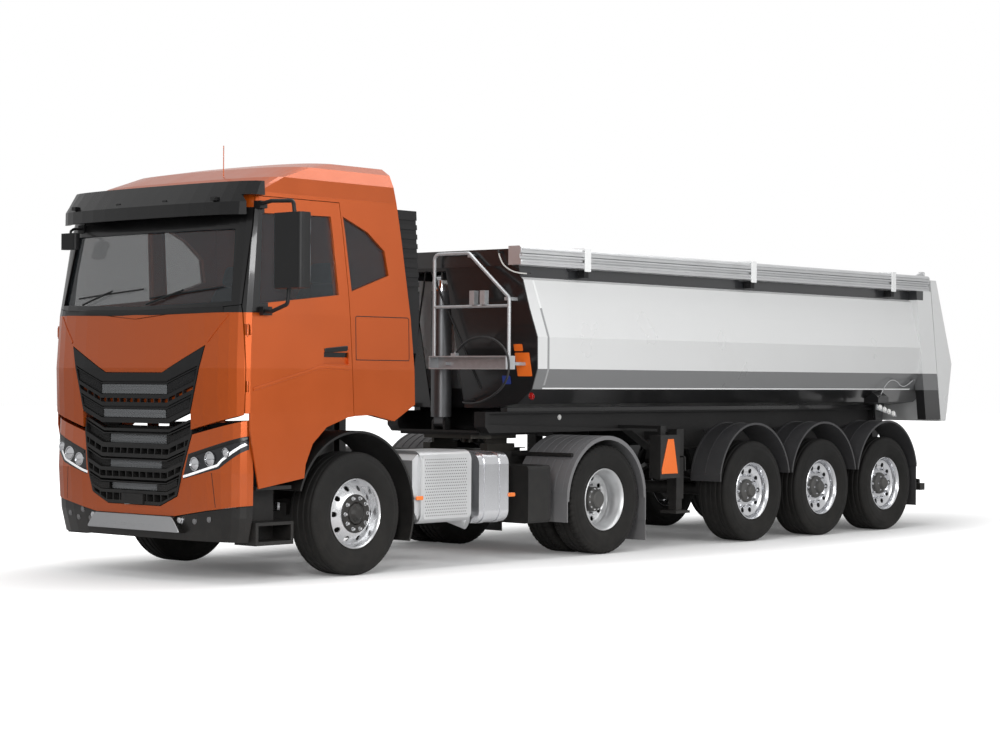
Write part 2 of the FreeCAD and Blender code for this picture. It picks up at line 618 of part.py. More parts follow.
def front_end():
    x0 = X_FRONT + 1000
    x1 = X_FRONT + 1600
    shell = bumper_shell(BUMPER_LEVELS, 55)
    top_cut = prism_x([(-1300, 1355), (-1235, 1332), (-690, 1205), (690, 1205), (1235, 1332), (1300, 1355),
                       (1300, 1500), (-1300, 1500)], x0, x1)
    low_cut = prism_x([(-1300, 640), (-1225, 640), (-860, 590), (-500, 532), (500, 532), (860, 590), (1225, 640),
                       (1300, 640), (1300, 400), (-1300, 400)], x0, x1)
    bumper = shell.cut(top_cut).cut(low_cut).cut(prism_x(widened(GRILLE_LOW, GRILLE_GAP), x0, x1))
    lamps = []
    for sign in (1, -1):
        outline = [(sign * y, z) for y, z in LAMP]
        bumper = bumper.cut(prism_x(widened(outline, LAMP_GAP), LAMP_REAR_X - LAMP_GAP, x1))
        lamps.append(shell.common(prism_x(outline, LAMP_REAR_X, x1)))
    hooks = [box(BEAM_FRONT_X + SEAT_GAP, BEAM_FRONT_X + 50, sign * 632, sign * 692, 725, 785) for sign in (1, -1)]
    node("front_bumper", fuse([bumper] + hooks))
    node("headlamps", lamps)

    grille_levels = [(z, nose + 6, side, rear, half) for z, nose, side, rear, half in BUMPER_LEVELS]
    grille = bumper_shell(grille_levels, 60).common(prism_x(GRILLE_LOW, x0, x1))
    grille = grille.cut(chevron(1700, GRILLE_ROWS[1][4], x0, x1))
    sunk = [(z, nose - MESH_DEPTH, side - MESH_DEPTH, rear, half - MESH_DEPTH) for z, nose, side, rear, half in grille_levels]
    grille = grille_work(grille, GRILLE_ROWS[2:], GRILLE_LOW, bumper_shell(grille_levels, 300).cut(stacked(sunk, 0, BUMPER_CORNER)))
    number_plate = box(X_FRONT + 1380, X_FRONT + 1449, -138, 138, 614, 700)
    grille = fuse([grille, number_plate])
    hooks = [box(BEAM_FRONT_X + SEAT_GAP, BEAM_FRONT_X + 60, sign * 190, sign * 260, 725, 755) for sign in (1, -1)]
    node("lower_grille", fuse([grille] + hooks))

    skirt_levels = [(330.0, 1375.0, 1190.0, 1180.0, 1150.0), (535.0, 1412.0, 1195.0, 1190.0, 1200.0),
                    (650.0, 1416.0, 1195.0, 1190.0, 1206.0)]
    skirt = bumper_shell(skirt_levels, 45)
    skirt_keep = prism_x([(-1240, 634), (-862, 584), (-500, 526), (500, 526), (862, 584), (1240, 634), (1240, 336),
                          (-1240, 336)], x0, x1)
    skirt = skirt.common(skirt_keep).cut(box(X_FRONT + 1000, X_FRONT + 1182, -1300, 1300, 300, 700))
    plate = prism_y([(X_FRONT + 1350, 396), (X_FRONT + 1437, 396), (X_FRONT + 1437, 470), (X_FRONT + 1420, 527),
                     (X_FRONT + 1350, 527)], -600, 600)
    plate = plate.common(prism_x([(-600, 390), (600, 390), (500, 530), (-500, 530)], x0, x1))
    arms = [box(X_FRONT + 1300, X_FRONT + 1362, sign * 340, sign * 420, 420, 520) for sign in (1, -1)]
    arms += [box(X_FRONT + 1250, X_FRONT + 1310, sign * 340, sign * 420, 420,
                 BEAM_BOTTOM_Z - SEAT_GAP) for sign in (1, -1)]
    node("bumper_skirt", fuse([skirt, plate] + arms))


# Tractor fittings

def along_arc(centre_x, centre_z, r_in, r_out, start_deg, end_deg, y0, y1):
    """A curved sheet about a line along Y; angles are counted up from forward."""
    def at(radius, degrees):
        angle = math.radians(degrees)
        return V(centre_x + radius * math.cos(angle), y0, centre_z + radius * math.sin(angle))
    middle = (start_deg + end_deg) / 2
    edges = [Part.Arc(at(r_in, start_deg), at(r_in, middle), at(r_in, end_deg)).toShape(),
             Part.makeLine(at(r_in, end_deg), at(r_out, end_deg)),
             Part.Arc(at(r_out, end_deg), at(r_out, middle), at(r_out, start_deg)).toShape(),
             Part.makeLine(at(r_out, start_deg), at(r_in, start_deg))]
    return Part.Face(Part.Wire(edges)).extrude(V(0, y1 - y0, 0))


def rounded_box(x0, x1, y0, y1, z0, z1, radius):
    """A tank or case with its long edges along X rounded."""
    body = box(x0, x1, y0, y1, z0, z1)
    long_edges = [edge for edge in body.Edges if abs(edge.tangentAt(edge.FirstParameter).x) > 0.99]
    return body.makeFillet(radius, long_edges)


def along_bay(share):
    """A station between the front wheel's arch and the drive wheel's guard."""
    return BAY_FRONT_X + (BAY_REAR_X - BAY_FRONT_X) * share


def fittings():
    arches = []
    for sign in (1, -1):
        arch = along_arc(X_FRONT, AXLE_Z, LINER_R, LINER_R + LINER_T, 18, 202, sign * 690, sign * 1210)
        foot = sign * (RAIL_OUT_Y + SEAT_GAP)
        stay = prism_x([(foot, 925), (foot, 961), (sign * 700, 1040), (sign * 700, 1016)], X_FRONT - 500, X_FRONT - 460)
        front_stay = prism_x([(foot, 890), (foot, 926), (sign * 700, 950), (sign * 700, 925)],
                             X_FRONT + 540, X_FRONT + 575)
        arches.append(fuse([arch, stay, front_stay]))
    node("wheel_arches", arches)

    steps = []
    for sign in (1, -1):
        case = box(X_FRONT + LINER_R + 60, X_FRONT + 1165, sign * 960, sign * 1214, 308, 496)
        case = case.cut(box(X_FRONT + LINER_R + 90, X_FRONT + 1135, sign * 1000, sign * 1300, 340, 470))
        riser = box(X_FRONT + LINER_R + 75, X_FRONT + 1150, sign * 960, sign * 985, 480, 1180)
        treads = [box(X_FRONT + LINER_R + 75, X_FRONT + 1150, sign * 970, sign * 1200, z, z + 30) for z in (760, 1050)]
        stay = box(X_FRONT + 1000, X_FRONT + 1060, sign * (RAIL_OUT_Y + SEAT_GAP), sign * 970, 820, 880)
        steps.append(fuse([case, riser, stay] + treads))
    node("boarding_steps", steps)

    y0, y1 = 640, 1215
    exhaust_rear = along_bay(0.371)
    exhaust = rounded_box(exhaust_rear, BAY_FRONT_X, y0, y1, 400, 1042, 90)
    slope = prism_y([(BAY_FRONT_X - 10, 420), (BAY_FRONT_X + 68, 560), (BAY_FRONT_X + 68, 960), (BAY_FRONT_X - 10, 1020)],
                    y0 + 40, y1 - 40)
    tail = rod(V(exhaust_rear + 60, 900, 470), V(exhaust_rear - 40, 1130, 380), 62)
    stay_x = along_bay(BRACKET_SHARES[0])
    stay = box(stay_x - 50, stay_x + 50, 560 + SEAT_GAP, y0 + 20, 780, 900)
    node("exhaust_box", fuse([exhaust, slope, tail, stay]))

    tank_front, tank_rear = along_bay(0.430), along_bay(0.657)
    bracket_x = along_bay(BRACKET_SHARES[1])
    tank = rounded_box(tank_rear, tank_front, 610, 1215, 373, 1013, 110)
    straps = [rounded_box(x - 30, x + 30, 604, 1221, 367, 1019, 114) for x in (tank_front - 100, tank_rear + 95)]
    bracket = box(bracket_x - 50, bracket_x + 50, 560 + SEAT_GAP, 620, 500, 900)
    left = fuse([tank, bracket] + straps)
    long_rear = along_bay(0.7135)
    long_tank = rounded_box(long_rear, BAY_FRONT_X, -1215, -610, 373, 1013, 110)
    bands = [rounded_box(x - 30, x + 30, -1221, -604, 367, 1019, 114)
             for x in (BAY_FRONT_X - 230, (BAY_FRONT_X + long_rear) / 2, long_rear + 230)]
    right_bracket = box(bracket_x - 50, bracket_x + 50, -620, -560 - SEAT_GAP, 500, 900)
    node("fuel_tanks", [left, fuse([long_tank, right_bracket] + bands)])

    shelf_x = along_bay(BRACKET_SHARES[2])
    battery = rounded_box(BAY_REAR_X, along_bay(0.820), 640, 1205, 340, 876, 40)
    shelf = box(shelf_x - 30, shelf_x + 30, 560 + SEAT_GAP, 650, 760, 840)
    reservoirs = [rod(V(BAY_REAR_X, -760, z), V(along_bay(0.775), -760, z), 118) for z in (520, 790)]
    rack = box(shelf_x - 30, shelf_x + 30, -750, -560 - SEAT_GAP, 480, 900)
    node("battery_box", [fuse([battery, shelf]), fuse(reservoirs + [rack])])

    guards = []
    inner_r = MUDGUARD_R - MUDGUARD_T
    floor_r = MUDGUARD_R - GROOVE_DEPTH
    lands = list(zip([600] + [y + GROOVE_W for y in MUDGUARD_GROOVES], MUDGUARD_GROOVES + [1240]))
    for sign in (1, -1):
        core = along_arc(X_DRIVE, AXLE_Z, inner_r, floor_r, 0, 180, sign * 600, sign * 1240)
        front = box(X_DRIVE + inner_r, X_DRIVE + floor_r, sign * 600, sign * 1240, 330, AXLE_Z)
        rear = box(X_DRIVE - floor_r, X_DRIVE - inner_r, sign * 600, sign * 1240, 300, AXLE_Z)
        flap = box(X_DRIVE - floor_r - 9, X_DRIVE - floor_r, sign * 640, sign * 1230, 105, 460)
        lip = along_arc(X_DRIVE, AXLE_Z, inner_r - MUDGUARD_T, inner_r, 0, 180, sign * 1225, sign * 1240)
        ribs = [along_arc(X_DRIVE, AXLE_Z, floor_r, MUDGUARD_R, 8, 172, sign * y0, sign * y1) for y0, y1 in lands]
        guards.append(fuse([core, front, rear, lip, flap] + ribs))
    node("tractor_mudguards", guards)

    plate = rod(V(X_PIN, 0, FIFTH_WHEEL_Z - 36), V(X_PIN, 0, FIFTH_WHEEL_Z), 450)
    plate = plate.common(box(X_PIN - 450, X_PIN + 330, -420, 420, 1000, 1200))
    slot = prism_z([(X_PIN - 10, -KINGPIN_R - 1), (X_PIN - 460, -150), (X_PIN - 460, 150),
                    (X_PIN - 10, KINGPIN_R + 1)], 1000, 1200)
    bore = rod(V(X_PIN, 0, 1000), V(X_PIN, 0, 1200), KINGPIN_R + RUN_GAP)
    skirts = [box(X_PIN - 120, X_PIN + 160, sign * 330, sign * 360, 1050, FIFTH_WHEEL_Z - 30) for sign in (1, -1)]
    feet = [box(X_PIN - 180, X_PIN + 220, sign * 330, sign * 420, RAIL_TOP_Z + SEAT_GAP, 1056) for sign in (1, -1)]
    lock = rod(V(X_PIN, 0, 1060), V(X_PIN, 0, FIFTH_WHEEL_Z - 30), 90)
    pan = box(X_PIN - 180, X_PIN + 220, -420, 420, RAIL_TOP_Z + SEAT_GAP, RAIL_TOP_Z + 16)
    wheel = fuse([plate, lock, pan] + skirts + feet).cut(slot).cut(bore)
    node("fifth_wheel", wheel)


# Cab

SIDE_BOTTOM = [(655, 847), (640, 960), (560, 1130), (400, 1265), (150, 1345), (-130, 1362), (-415, 1307),
               (-700, 1465)]
DOOR_FRONT_X = 1290.0
DOOR_TOP_Z = 3150.0
DOOR_TOP = [(1290, 2250), (1128, DOOR_TOP_Z), (203, DOOR_TOP_Z), (137, 2400), (108, 1757), (80, 1352)]
DOOR_WINDOW = [(1150, 2275), (1090, 3015), (310, 3030), (250, 2372)]
QUARTER_WINDOW = [(167, 3040), (-120, 2920), (-319, 2766), (-358, 2559), (97, 2408)]
WINDSCREEN = [(-1085, 2290), (0, 2262), (1085, 2290), (1020, 2885), (-1020, 2885)]
GRILLE_UP = [(-690, 1387), (-420, 1290), (420, 1290), (690, 1387), (850, 1930), (365, 1710), (-365, 1710),
             (-850, 1930)]


DOOR_HINGE_ZS = [1600, 2060]
DOOR_PIN_R = 6.0
KNUCKLE_R = 10.0
KNUCKLE_HALF = 40.0


def cab_side(outline):
    return [(X_FRONT + x, z) for x, z in outline]


def beside(depth, sign):
    """All that lies outside a surface the given depth in from the cab's flat side."""
    inner = [(half - depth, level_z) for level_z, nose, side, rear, half in CAB_LEVELS]
    outline = [(inner[0][0], 1000)] + inner + [(inner[-1][0], 3400), (1500, 3400), (1500, 1000)]
    return prism_x([(sign * y, z) for y, z in outline], X_FRONT - 800, X_FRONT + 1600)


def cab():
    outer = stacked(CAB_LEVELS)
    cavity_levels = [(1220.0,) + CAB_LEVELS[0][1:]] + CAB_LEVELS[1:-1] + [(3200.0,) + CAB_LEVELS[-1][1:]]
    skin = outer.cut(stacked(cavity_levels, SKIN_T))
    front_x0 = X_FRONT + 1000
    front_x1 = X_FRONT + 1600

    door_outline = [(DOOR_FRONT_X, 1384)] + DOOR_TOP
    opening = widened(cab_side(door_outline), PANEL_GAP)
    below = prism_y(cab_side([(1700, 1100), (1700, 1390), (74, 1390), (74, 1354)] + SIDE_BOTTOM[5:]
                             + [(-900, 1465), (-900, 1100)]), -1400, 1400)
    window = prism_y(cab_side(QUARTER_WINDOW), -1400, 1400)
    screen = prism_x(WINDSCREEN, front_x0, front_x1)

    front_region = [(-1300, 1200), (1300, 1200), (1300, 2302), (1150, 2262), (0, 2160), (-1150, 2262), (-1300, 2302)]
    behind_panel = stacked(cavity_levels, PANEL_T + SEAT_GAP)
    pocket = outer.cut(behind_panel).common(prism_x(front_region, X_FRONT + 1291, front_x1))
    shell = skin.cut(pocket).cut(below).cut(window).cut(screen)
    hinge_arms = []
    for sign in (1, -1):
        shell = shell.cut(prism_y(opening, sign * 900, sign * 1400).common(beside(SKIN_T + DOOR_SWING_GAP, sign)))
        for z in DOOR_HINGE_ZS:
            low, high = z - KNUCKLE_HALF, z + KNUCKLE_HALF
            arm = prism_z([(DOOR_HINGE_X - 8, sign * (DOOR_HINGE_Y - 2)), (DOOR_HINGE_X + 8, sign * (DOOR_HINGE_Y - 2)),
                           (DOOR_HINGE_X + 16, sign * 1140), (DOOR_HINGE_X, sign * 1140)], low, high)
            knuckle_tube = tube(V(DOOR_HINGE_X, sign * DOOR_HINGE_Y, low), V(DOOR_HINGE_X, sign * DOOR_HINGE_Y, high),
                                KNUCKLE_R, DOOR_PIN_R + RUN_GAP)
            bore = rod(V(DOOR_HINGE_X, sign * DOOR_HINGE_Y, low - 1), V(DOOR_HINGE_X, sign * DOOR_HINGE_Y, high + 1),
                       DOOR_PIN_R + RUN_GAP)
            hinge_arms.append(fuse([knuckle_tube, arm]).cut(bore))
    floor = stacked([(CAB_FLOOR_Z, 1436.0, 1259.0, -664.0, 1243.0),
                     (CAB_FLOOR_Z + CAB_FLOOR_T, 1436.0, 1259.0, -664.0, 1243.0)], SKIN_T - 2)
    floor = floor.cut(box(X_FRONT + 1330, X_FRONT + 1600, -1300, 1300, 1400, 1600))
    sills = [box(X_FRONT - 600, X_FRONT + 1290, sign * 1085, sign * 1166, CAB_FLOOR_Z, 1535) for sign in (1, -1)]
    beams = []
    for sign in (1, -1):
        y0, y1 = sign * (CAB_BEAM_Y - 30), sign * (CAB_BEAM_Y + 30)
        beams.append(box(X_FRONT - 640, X_FRONT + 905, y0, y1, CAB_BEAM_BOTTOM_Z, CAB_FLOOR_Z + 1))
        eye = disc_y(TILT_X, TILT_Z, TILT_EYE_R, y0, y1)
        arm = prism_y([(TILT_X - 8, TILT_Z + 34), (X_FRONT + 905, 1200), (X_FRONT + 905, 1380), (X_FRONT + 825, 1380),
                       (X_FRONT + 825, 1140), (TILT_X - 12, TILT_Z - 34)], y0, y1)
        beams.append(eye.fuse(arm).cut(disc_y(TILT_X, TILT_Z, TILT_PIN_R + RUN_GAP, y0 - sign, y1 + sign)))
    floor = fuse([floor] + sills)
    clear = outer.cut(stacked(cavity_levels, SKIN_T + PANEL_GAP))
    for sign in (1, -1):
        way = prism_y(opening, sign * 900, sign * 1400).common(beside(SKIN_T + DOOR_SWING_GAP, sign))
        floor = floor.cut(clear.common(way))
    node("cab_shell", fuse([shell, floor] + beams + hinge_arms))

    pane = stacked(CAB_LEVELS, 20).cut(stacked(cavity_levels, 32))
    node("cab_glass", [pane.common(screen)] + [pane.common(prism_y(cab_side(QUARTER_WINDOW), sign * 900, sign * 1400))
                                               for sign in (1, -1)])

    for side, sign in (("left", 1), ("right", -1)):
        panel = skin.common(prism_y(cab_side(door_outline), sign * 900, sign * 1400)).common(beside(SKIN_T, sign))
        lower = prism_y(cab_side([(1288, 1384), (1162, 774)] + SIDE_BOTTOM[:5] + [(80, 1352), (81, 1390), (1288, 1390)]),
                        sign * EXTENSION_IN_Y, sign * EXTENSION_OUT_Y)
        panel = fuse([panel, lower.common(box(X_FRONT, X_FRONT + 1262, sign * 1200, sign * 1300, 700, 1389))])
        panel = panel.cut(prism_y(cab_side(DOOR_WINDOW), sign * 900, sign * 1400))
        grip = box(X_FRONT + 150, X_FRONT + 440, sign * 1222, sign * 1300, 1790, 1920)
        panel = panel.cut(grip).fuse(box(X_FRONT + 140, X_FRONT + 450, sign * 1226, sign * 1240, 1890, 1915))
        pins = []
        for z in DOOR_HINGE_ZS:
            reach = KNUCKLE_HALF + 3
            panel = panel.cut(box(DOOR_HINGE_X - 22, DOOR_HINGE_X + 30, sign * 1100, sign * (DOOR_HINGE_Y + KNUCKLE_R + 2),
                                  z - reach, z + reach))
            pins.append(rod(V(DOOR_HINGE_X, sign * DOOR_HINGE_Y, z - reach - 12),
                            V(DOOR_HINGE_X, sign * DOOR_HINGE_Y, z + reach + 12), DOOR_PIN_R))
        node("door_" + side, fuse([panel] + pins))
        node("door_glass_" + side, pane.common(prism_y(cab_side(DOOR_WINDOW), sign * 900, sign * 1400)))

    edge = [(-1300, 1392), (-1258, 1384), (-696, 1247), (-696, 1405), (696, 1405), (696, 1247), (1258, 1384),
            (1300, 1392), (1300, 2296), (1150, 2256), (0, 2154), (-1150, 2256), (-1300, 2296)]
    sheet = outer.cut(stacked(cavity_levels, PANEL_T))
    panel = sheet.common(prism_x(edge, X_FRONT + DOOR_FRONT_X + PANEL_GAP, front_x1))
    panel = panel.cut(prism_x(widened(GRILLE_UP, GRILLE_GAP), front_x0, front_x1))
    node("front_panel", panel)

    grille_levels = [(z, nose + GRILLE_PROUD, side, rear, half) for z, nose, side, rear, half in CAB_LEVELS]
    proud = stacked(grille_levels)
    grille = proud.cut(stacked(cavity_levels, PANEL_T))
    grille = grille.common(prism_x(GRILLE_UP, front_x0, front_x1))
    grille = grille_work(grille, [GRILLE_ROWS[0], GRILLE_ROWS[1][:3] + (1100.0, 1090.0)], GRILLE_UP,
                         proud.cut(stacked(grille_levels, MESH_DEPTH)))
    node("upper_grille", grille)

    roof_cavity = [(3190.0,) + ROOF_LEVELS[0][1:], ROOF_LEVELS[1], (3446.0, 670.0, 400.0, -524.0, 1045.0)]
    roof = stacked(ROOF_LEVELS).cut(stacked(roof_cavity, 56))
    antenna = rod(V(X_FRONT + 900, 500, 3340), V(X_FRONT + 900, 500, 3620), 4)
    node("cab_roof", fuse([roof, antenna]))

    visor_levels = [(2995.0, 1405.0, 1205.0, 1095.0, 1206.0), (3100.0, 1398.0, 1198.0, 1080.0, 1212.0),
                    (3275.0, 1262.0, 1108.0, 1070.0, 1190.0)]
    visor_inner = [(2990.0, 1372.0, 1172.0, 900.0, 1180.0), (3100.0, 1364.0, 1166.0, 900.0, 1186.0),
                   (3280.0, 1228.0, 1078.0, 900.0, 1164.0)]
    visor = stacked(visor_levels, 0, VISOR_CORNER).cut(stacked(visor_inner, 0, VISOR_CORNER))
    stays = [box(X_FRONT + 1100, X_FRONT + 1375, y - 25, y + 25, 3110, 3140).cut(outer) for y in (-900, -300, 300, 900)]
    for sign in (1, -1):
        visor = visor.cut(box(X_FRONT + 900, X_FRONT + 1250, sign * 1100, sign * 1300, 2900, DOOR_TOP_Z + PANEL_GAP + 4))
    node("sun_visor", fuse([visor] + stays))

    stack = prism_y([(X_FRONT - 980, 1900), (X_FRONT - 760, 1900), (X_FRONT - 720, 2390), (X_FRONT - 680, 3160),
                     (X_FRONT - 950, 3160), (X_FRONT - 1000, 2390)], 720, 980)
    for index in range(8):
        z = 2450 + index * 84
        stack = stack.cut(box(X_FRONT - 1100, X_FRONT - 600, 968, 1000, z, z + 40))
    clamps = [box(X_FRONT - 790, X_FRONT - 500, 820, 880, z, z + 40).cut(outer) for z in (2100, 2950)]
    node("air_stack", fuse([stack] + clamps))

    seat_z = CAB_FLOOR_Z + CAB_FLOOR_T + SEAT_GAP
    dash = prism_y([(X_FRONT + 850, seat_z), (X_FRONT + 1230, seat_z), (X_FRONT + 1280, 2100), (X_FRONT + 1240, 2190),
                    (X_FRONT + 900, 2130), (X_FRONT + 820, 2020)], -1060, 1060)
    dash = dash.common(stacked(cavity_levels, SKIN_T + PANEL_GAP))
    seats = []
    for y in (560, -560):
        seats.append(fuse([box(X_FRONT - 30, X_FRONT + 480, y - 250, y + 250, 1760, 1900),
                           prism_y([(X_FRONT - 140, 1860), (X_FRONT, 1860), (X_FRONT - 110, 2680), (X_FRONT - 220, 2680)],
                                   y - 240, y + 240),
                           box(X_FRONT + 50, X_FRONT + 380, y - 180, y + 180, seat_z, 1770)]))
    bunk = box(X_FRONT - 560, X_FRONT - 240, -1080, 1080, seat_z, 1980)
    column = rod(V(X_FRONT + 840, 560, 2010), V(X_FRONT + 640, 560, 2170), 35)
    axis = V(-0.78, 0, 0.62)
    ring = Part.makeTorus(225, 16, V(X_FRONT + 640, 560, 2170), axis)
    spoke = rod(V(X_FRONT + 640, 560 - 215, 2170), V(X_FRONT + 640, 560 + 215, 2170), 14)
    node("cab_interior", seats + [bunk, fuse([dash, column, ring, spoke])])


def mirrors():
    head = softened(box(X_FRONT + 1170, X_FRONT + 1300, 1530, MIRROR_OUT_Y, 2385, 2985), 40)
    upper = bent_rod([V(X_FRONT + 1120, 1200, 3085), V(X_FRONT + 1190, 1400, 3095), V(X_FRONT + 1230, 1700, 3080),
                      V(X_FRONT + 1230, 1720, 2950)], 40, 16)
    lower = bent_rod([V(X_FRONT + 1120, 1254, 2215), V(X_FRONT + 1200, 1420, 2205), V(X_FRONT + 1230, 1640, 2260),
                      V(X_FRONT + 1230, 1660, 2420)], 40, 16)
    feet = [box(X_FRONT + 1070, X_FRONT + 1150, 1150, 1225, 3050, 3110),
            box(X_FRONT + 1060, X_FRONT + 1160, 1190, 1280, 2180, 2250)]
    cab_solid = stacked(CAB_LEVELS)
    node("mirror_left", fuse([head, upper, lower] + [foot.cut(cab_solid) for foot in feet]))

    small = softened(box(X_FRONT + 1370, X_FRONT + 1440, -1000, -800, 2770, 2910), 26)
    arm = bent_rod([V(X_FRONT + 1190, -960, 2960), V(X_FRONT + 1330, -950, 2955), V(X_FRONT + 1400, -905, 2930),
                    V(X_FRONT + 1402, -900, 2860)], 24, 11)
    pad = box(X_FRONT + 1150, X_FRONT + 1245, -1000, -920, 2925, 2990)
    node("kerb_mirror", fuse([small, arm.cut(cab_solid), pad.cut(cab_solid)]))


def softened(head, radius):
    upright = [edge for edge in head.Edges if abs(edge.tangentAt(edge.FirstParameter).z) > 0.99]
    return head.makeFillet(radius, upright)


# Trailer

def trailer_frame():
    deep_x = X_PIN - 2150
    rail_side = [(X_PIN + 500, NECK_BOTTOM_Z + 60), (X_PIN + 500, TRAILER_RAIL_TOP_Z),
                 (TIP_HINGE_X - 60, TRAILER_RAIL_TOP_Z), (TIP_HINGE_X - 60, 1080), (TIP_HINGE_X + 20, TRAILER_RAIL_DEEP_Z),
                 (deep_x, TRAILER_RAIL_DEEP_Z), (X_PIN - 1750, NECK_BOTTOM_Z), (X_PIN + 440, NECK_BOTTOM_Z)]
    y0 = TRAILER_RAIL_Y
    y1 = TRAILER_RAIL_Y + TRAILER_RAIL_W
    pieces = []
    for sign in (1, -1):
        rail = prism_y(rail_side, sign * y0, sign * y1)
        groove = [(X_PIN + 440, NECK_BOTTOM_Z + 78), (X_PIN + 440, TRAILER_RAIL_TOP_Z - 16),
                  (TIP_HINGE_X + 90, TRAILER_RAIL_TOP_Z - 16), (TIP_HINGE_X + 90, TRAILER_RAIL_DEEP_Z + 18),
                  (deep_x + 10, TRAILER_RAIL_DEEP_Z + 18),
                  (X_PIN - 1745, NECK_BOTTOM_Z + 16)]
        rail = rail.cut(prism_y(groove, sign * (y0 + 78), sign * (y1 + 1)))
        rail = rail.cut(prism_y(groove, sign * (y0 - 1), sign * (y0 + 62)))
        pieces.append(rail)
    rear_drop = box(TIP_HINGE_X - 70, TIP_HINGE_X + 70, -y1, y1, 1255, 1400)
    for x in (X_PIN - 700, X_PIN - 2600, X_BOGIE + 700, X_BOGIE - 700, X_BOGIE - 1900):
        z_mid = 1260 if x > deep_x else 1150
        pieces.append(box(x - 50, x + 50, -y0 - 70, y0 + 70, z_mid - 70, z_mid + 70))
    king_plate = box(X_PIN - 480, X_PIN + 440, -y0 - 20, y0 + 20, FIFTH_WHEEL_Z + SEAT_GAP, NECK_BOTTOM_Z + 6)
    kingpin = rod(V(X_PIN, 0, FIFTH_WHEEL_Z - 84), V(X_PIN, 0, FIFTH_WHEEL_Z + 4), KINGPIN_R)
    foot_beam = box(RAM_X - 60, RAM_X + 60, -y0 - 20, y0 + 20, NECK_BOTTOM_Z, NECK_BOTTOM_Z + 22)
    ears = []
    for sign in (1, -1):
        ears.append(box(RAM_X - 40, RAM_X + 40, sign * 62, sign * 86, NECK_BOTTOM_Z + 10, RAM_FOOT_Z))
        ears.append(disc_y(RAM_X, RAM_FOOT_Z, 40, sign * 62, sign * 86))
    ram_pin = disc_y(RAM_X, RAM_FOOT_Z, RAM_PIN_R, -90, 90)
    pieces += [king_plate, kingpin, foot_beam, ram_pin] + ears
    for sign in (1, -1):
        side = [(TIP_HINGE_X - 60, 1110), (TIP_HINGE_X + 90, 1110), (TIP_HINGE_X + 60, TIP_HINGE_Z + 60),
                (TIP_HINGE_X - 60, TIP_HINGE_Z + 60)]
        pieces.append(prism_y(side, sign * (y0 - 22), sign * (y0 + 2)))
    frame = fuse(pieces).cut(rear_drop)
    hinge_pin = disc_y(TIP_HINGE_X, TIP_HINGE_Z, TIP_PIN_R, -y1 - 60, y1 + 60)
    bar = box(X_BOGIE - 2220, X_BOGIE - 2120, -1180, 1180, 420, 500)
    hangers = []
    for sign in (1, -1):
        hangers.append(prism_y([(X_BOGIE - 2170, 440), (X_BOGIE - 2110, 440), (X_BOGIE - 1850, 990),
                                (X_BOGIE - 2000, 1010)], sign * 604, sign * y1))
    node("trailer_frame", fuse([frame, hinge_pin, bar] + hangers))

    legs = []
    web_y = y0 + 78 + SEAT_GAP
    for sign in (1, -1):
        leg = box(X_PIN - 2150, X_PIN - 2030, sign * 880, sign * 1000, 470, 1180)
        inner_leg = box(X_PIN - 2138, X_PIN - 2042, sign * 892, sign * 988, 350, 480)
        shoe = box(X_PIN - 2210, X_PIN - 1970, sign * 840, sign * 1040, 325, 352)
        arm = box(X_PIN - 2140, X_PIN - 2040, sign * web_y, sign * 890, 1070, 1150)
        crank = bent_rod([V(X_PIN - 2090, sign * 990, 900), V(X_PIN - 2090, sign * 1060, 900),
                          V(X_PIN - 2090, sign * 1062, 760)], 20, 9)
        legs.append(fuse([leg, inner_leg, shoe, arm, crank]))
        holder = box(X_PIN - 1790, X_PIN - 1470, sign * 1080, sign * 1220, 700, 1130)
        holder_arm = box(X_PIN - 1680, X_PIN - 1600, sign * web_y, sign * 1090, 1190, 1220)
        holder_post = box(X_PIN - 1680, X_PIN - 1600, sign * 1080, sign * 1120, 1120, 1220)
        legs.append(fuse([holder, holder_arm, holder_post]))
    node("landing_legs", legs)


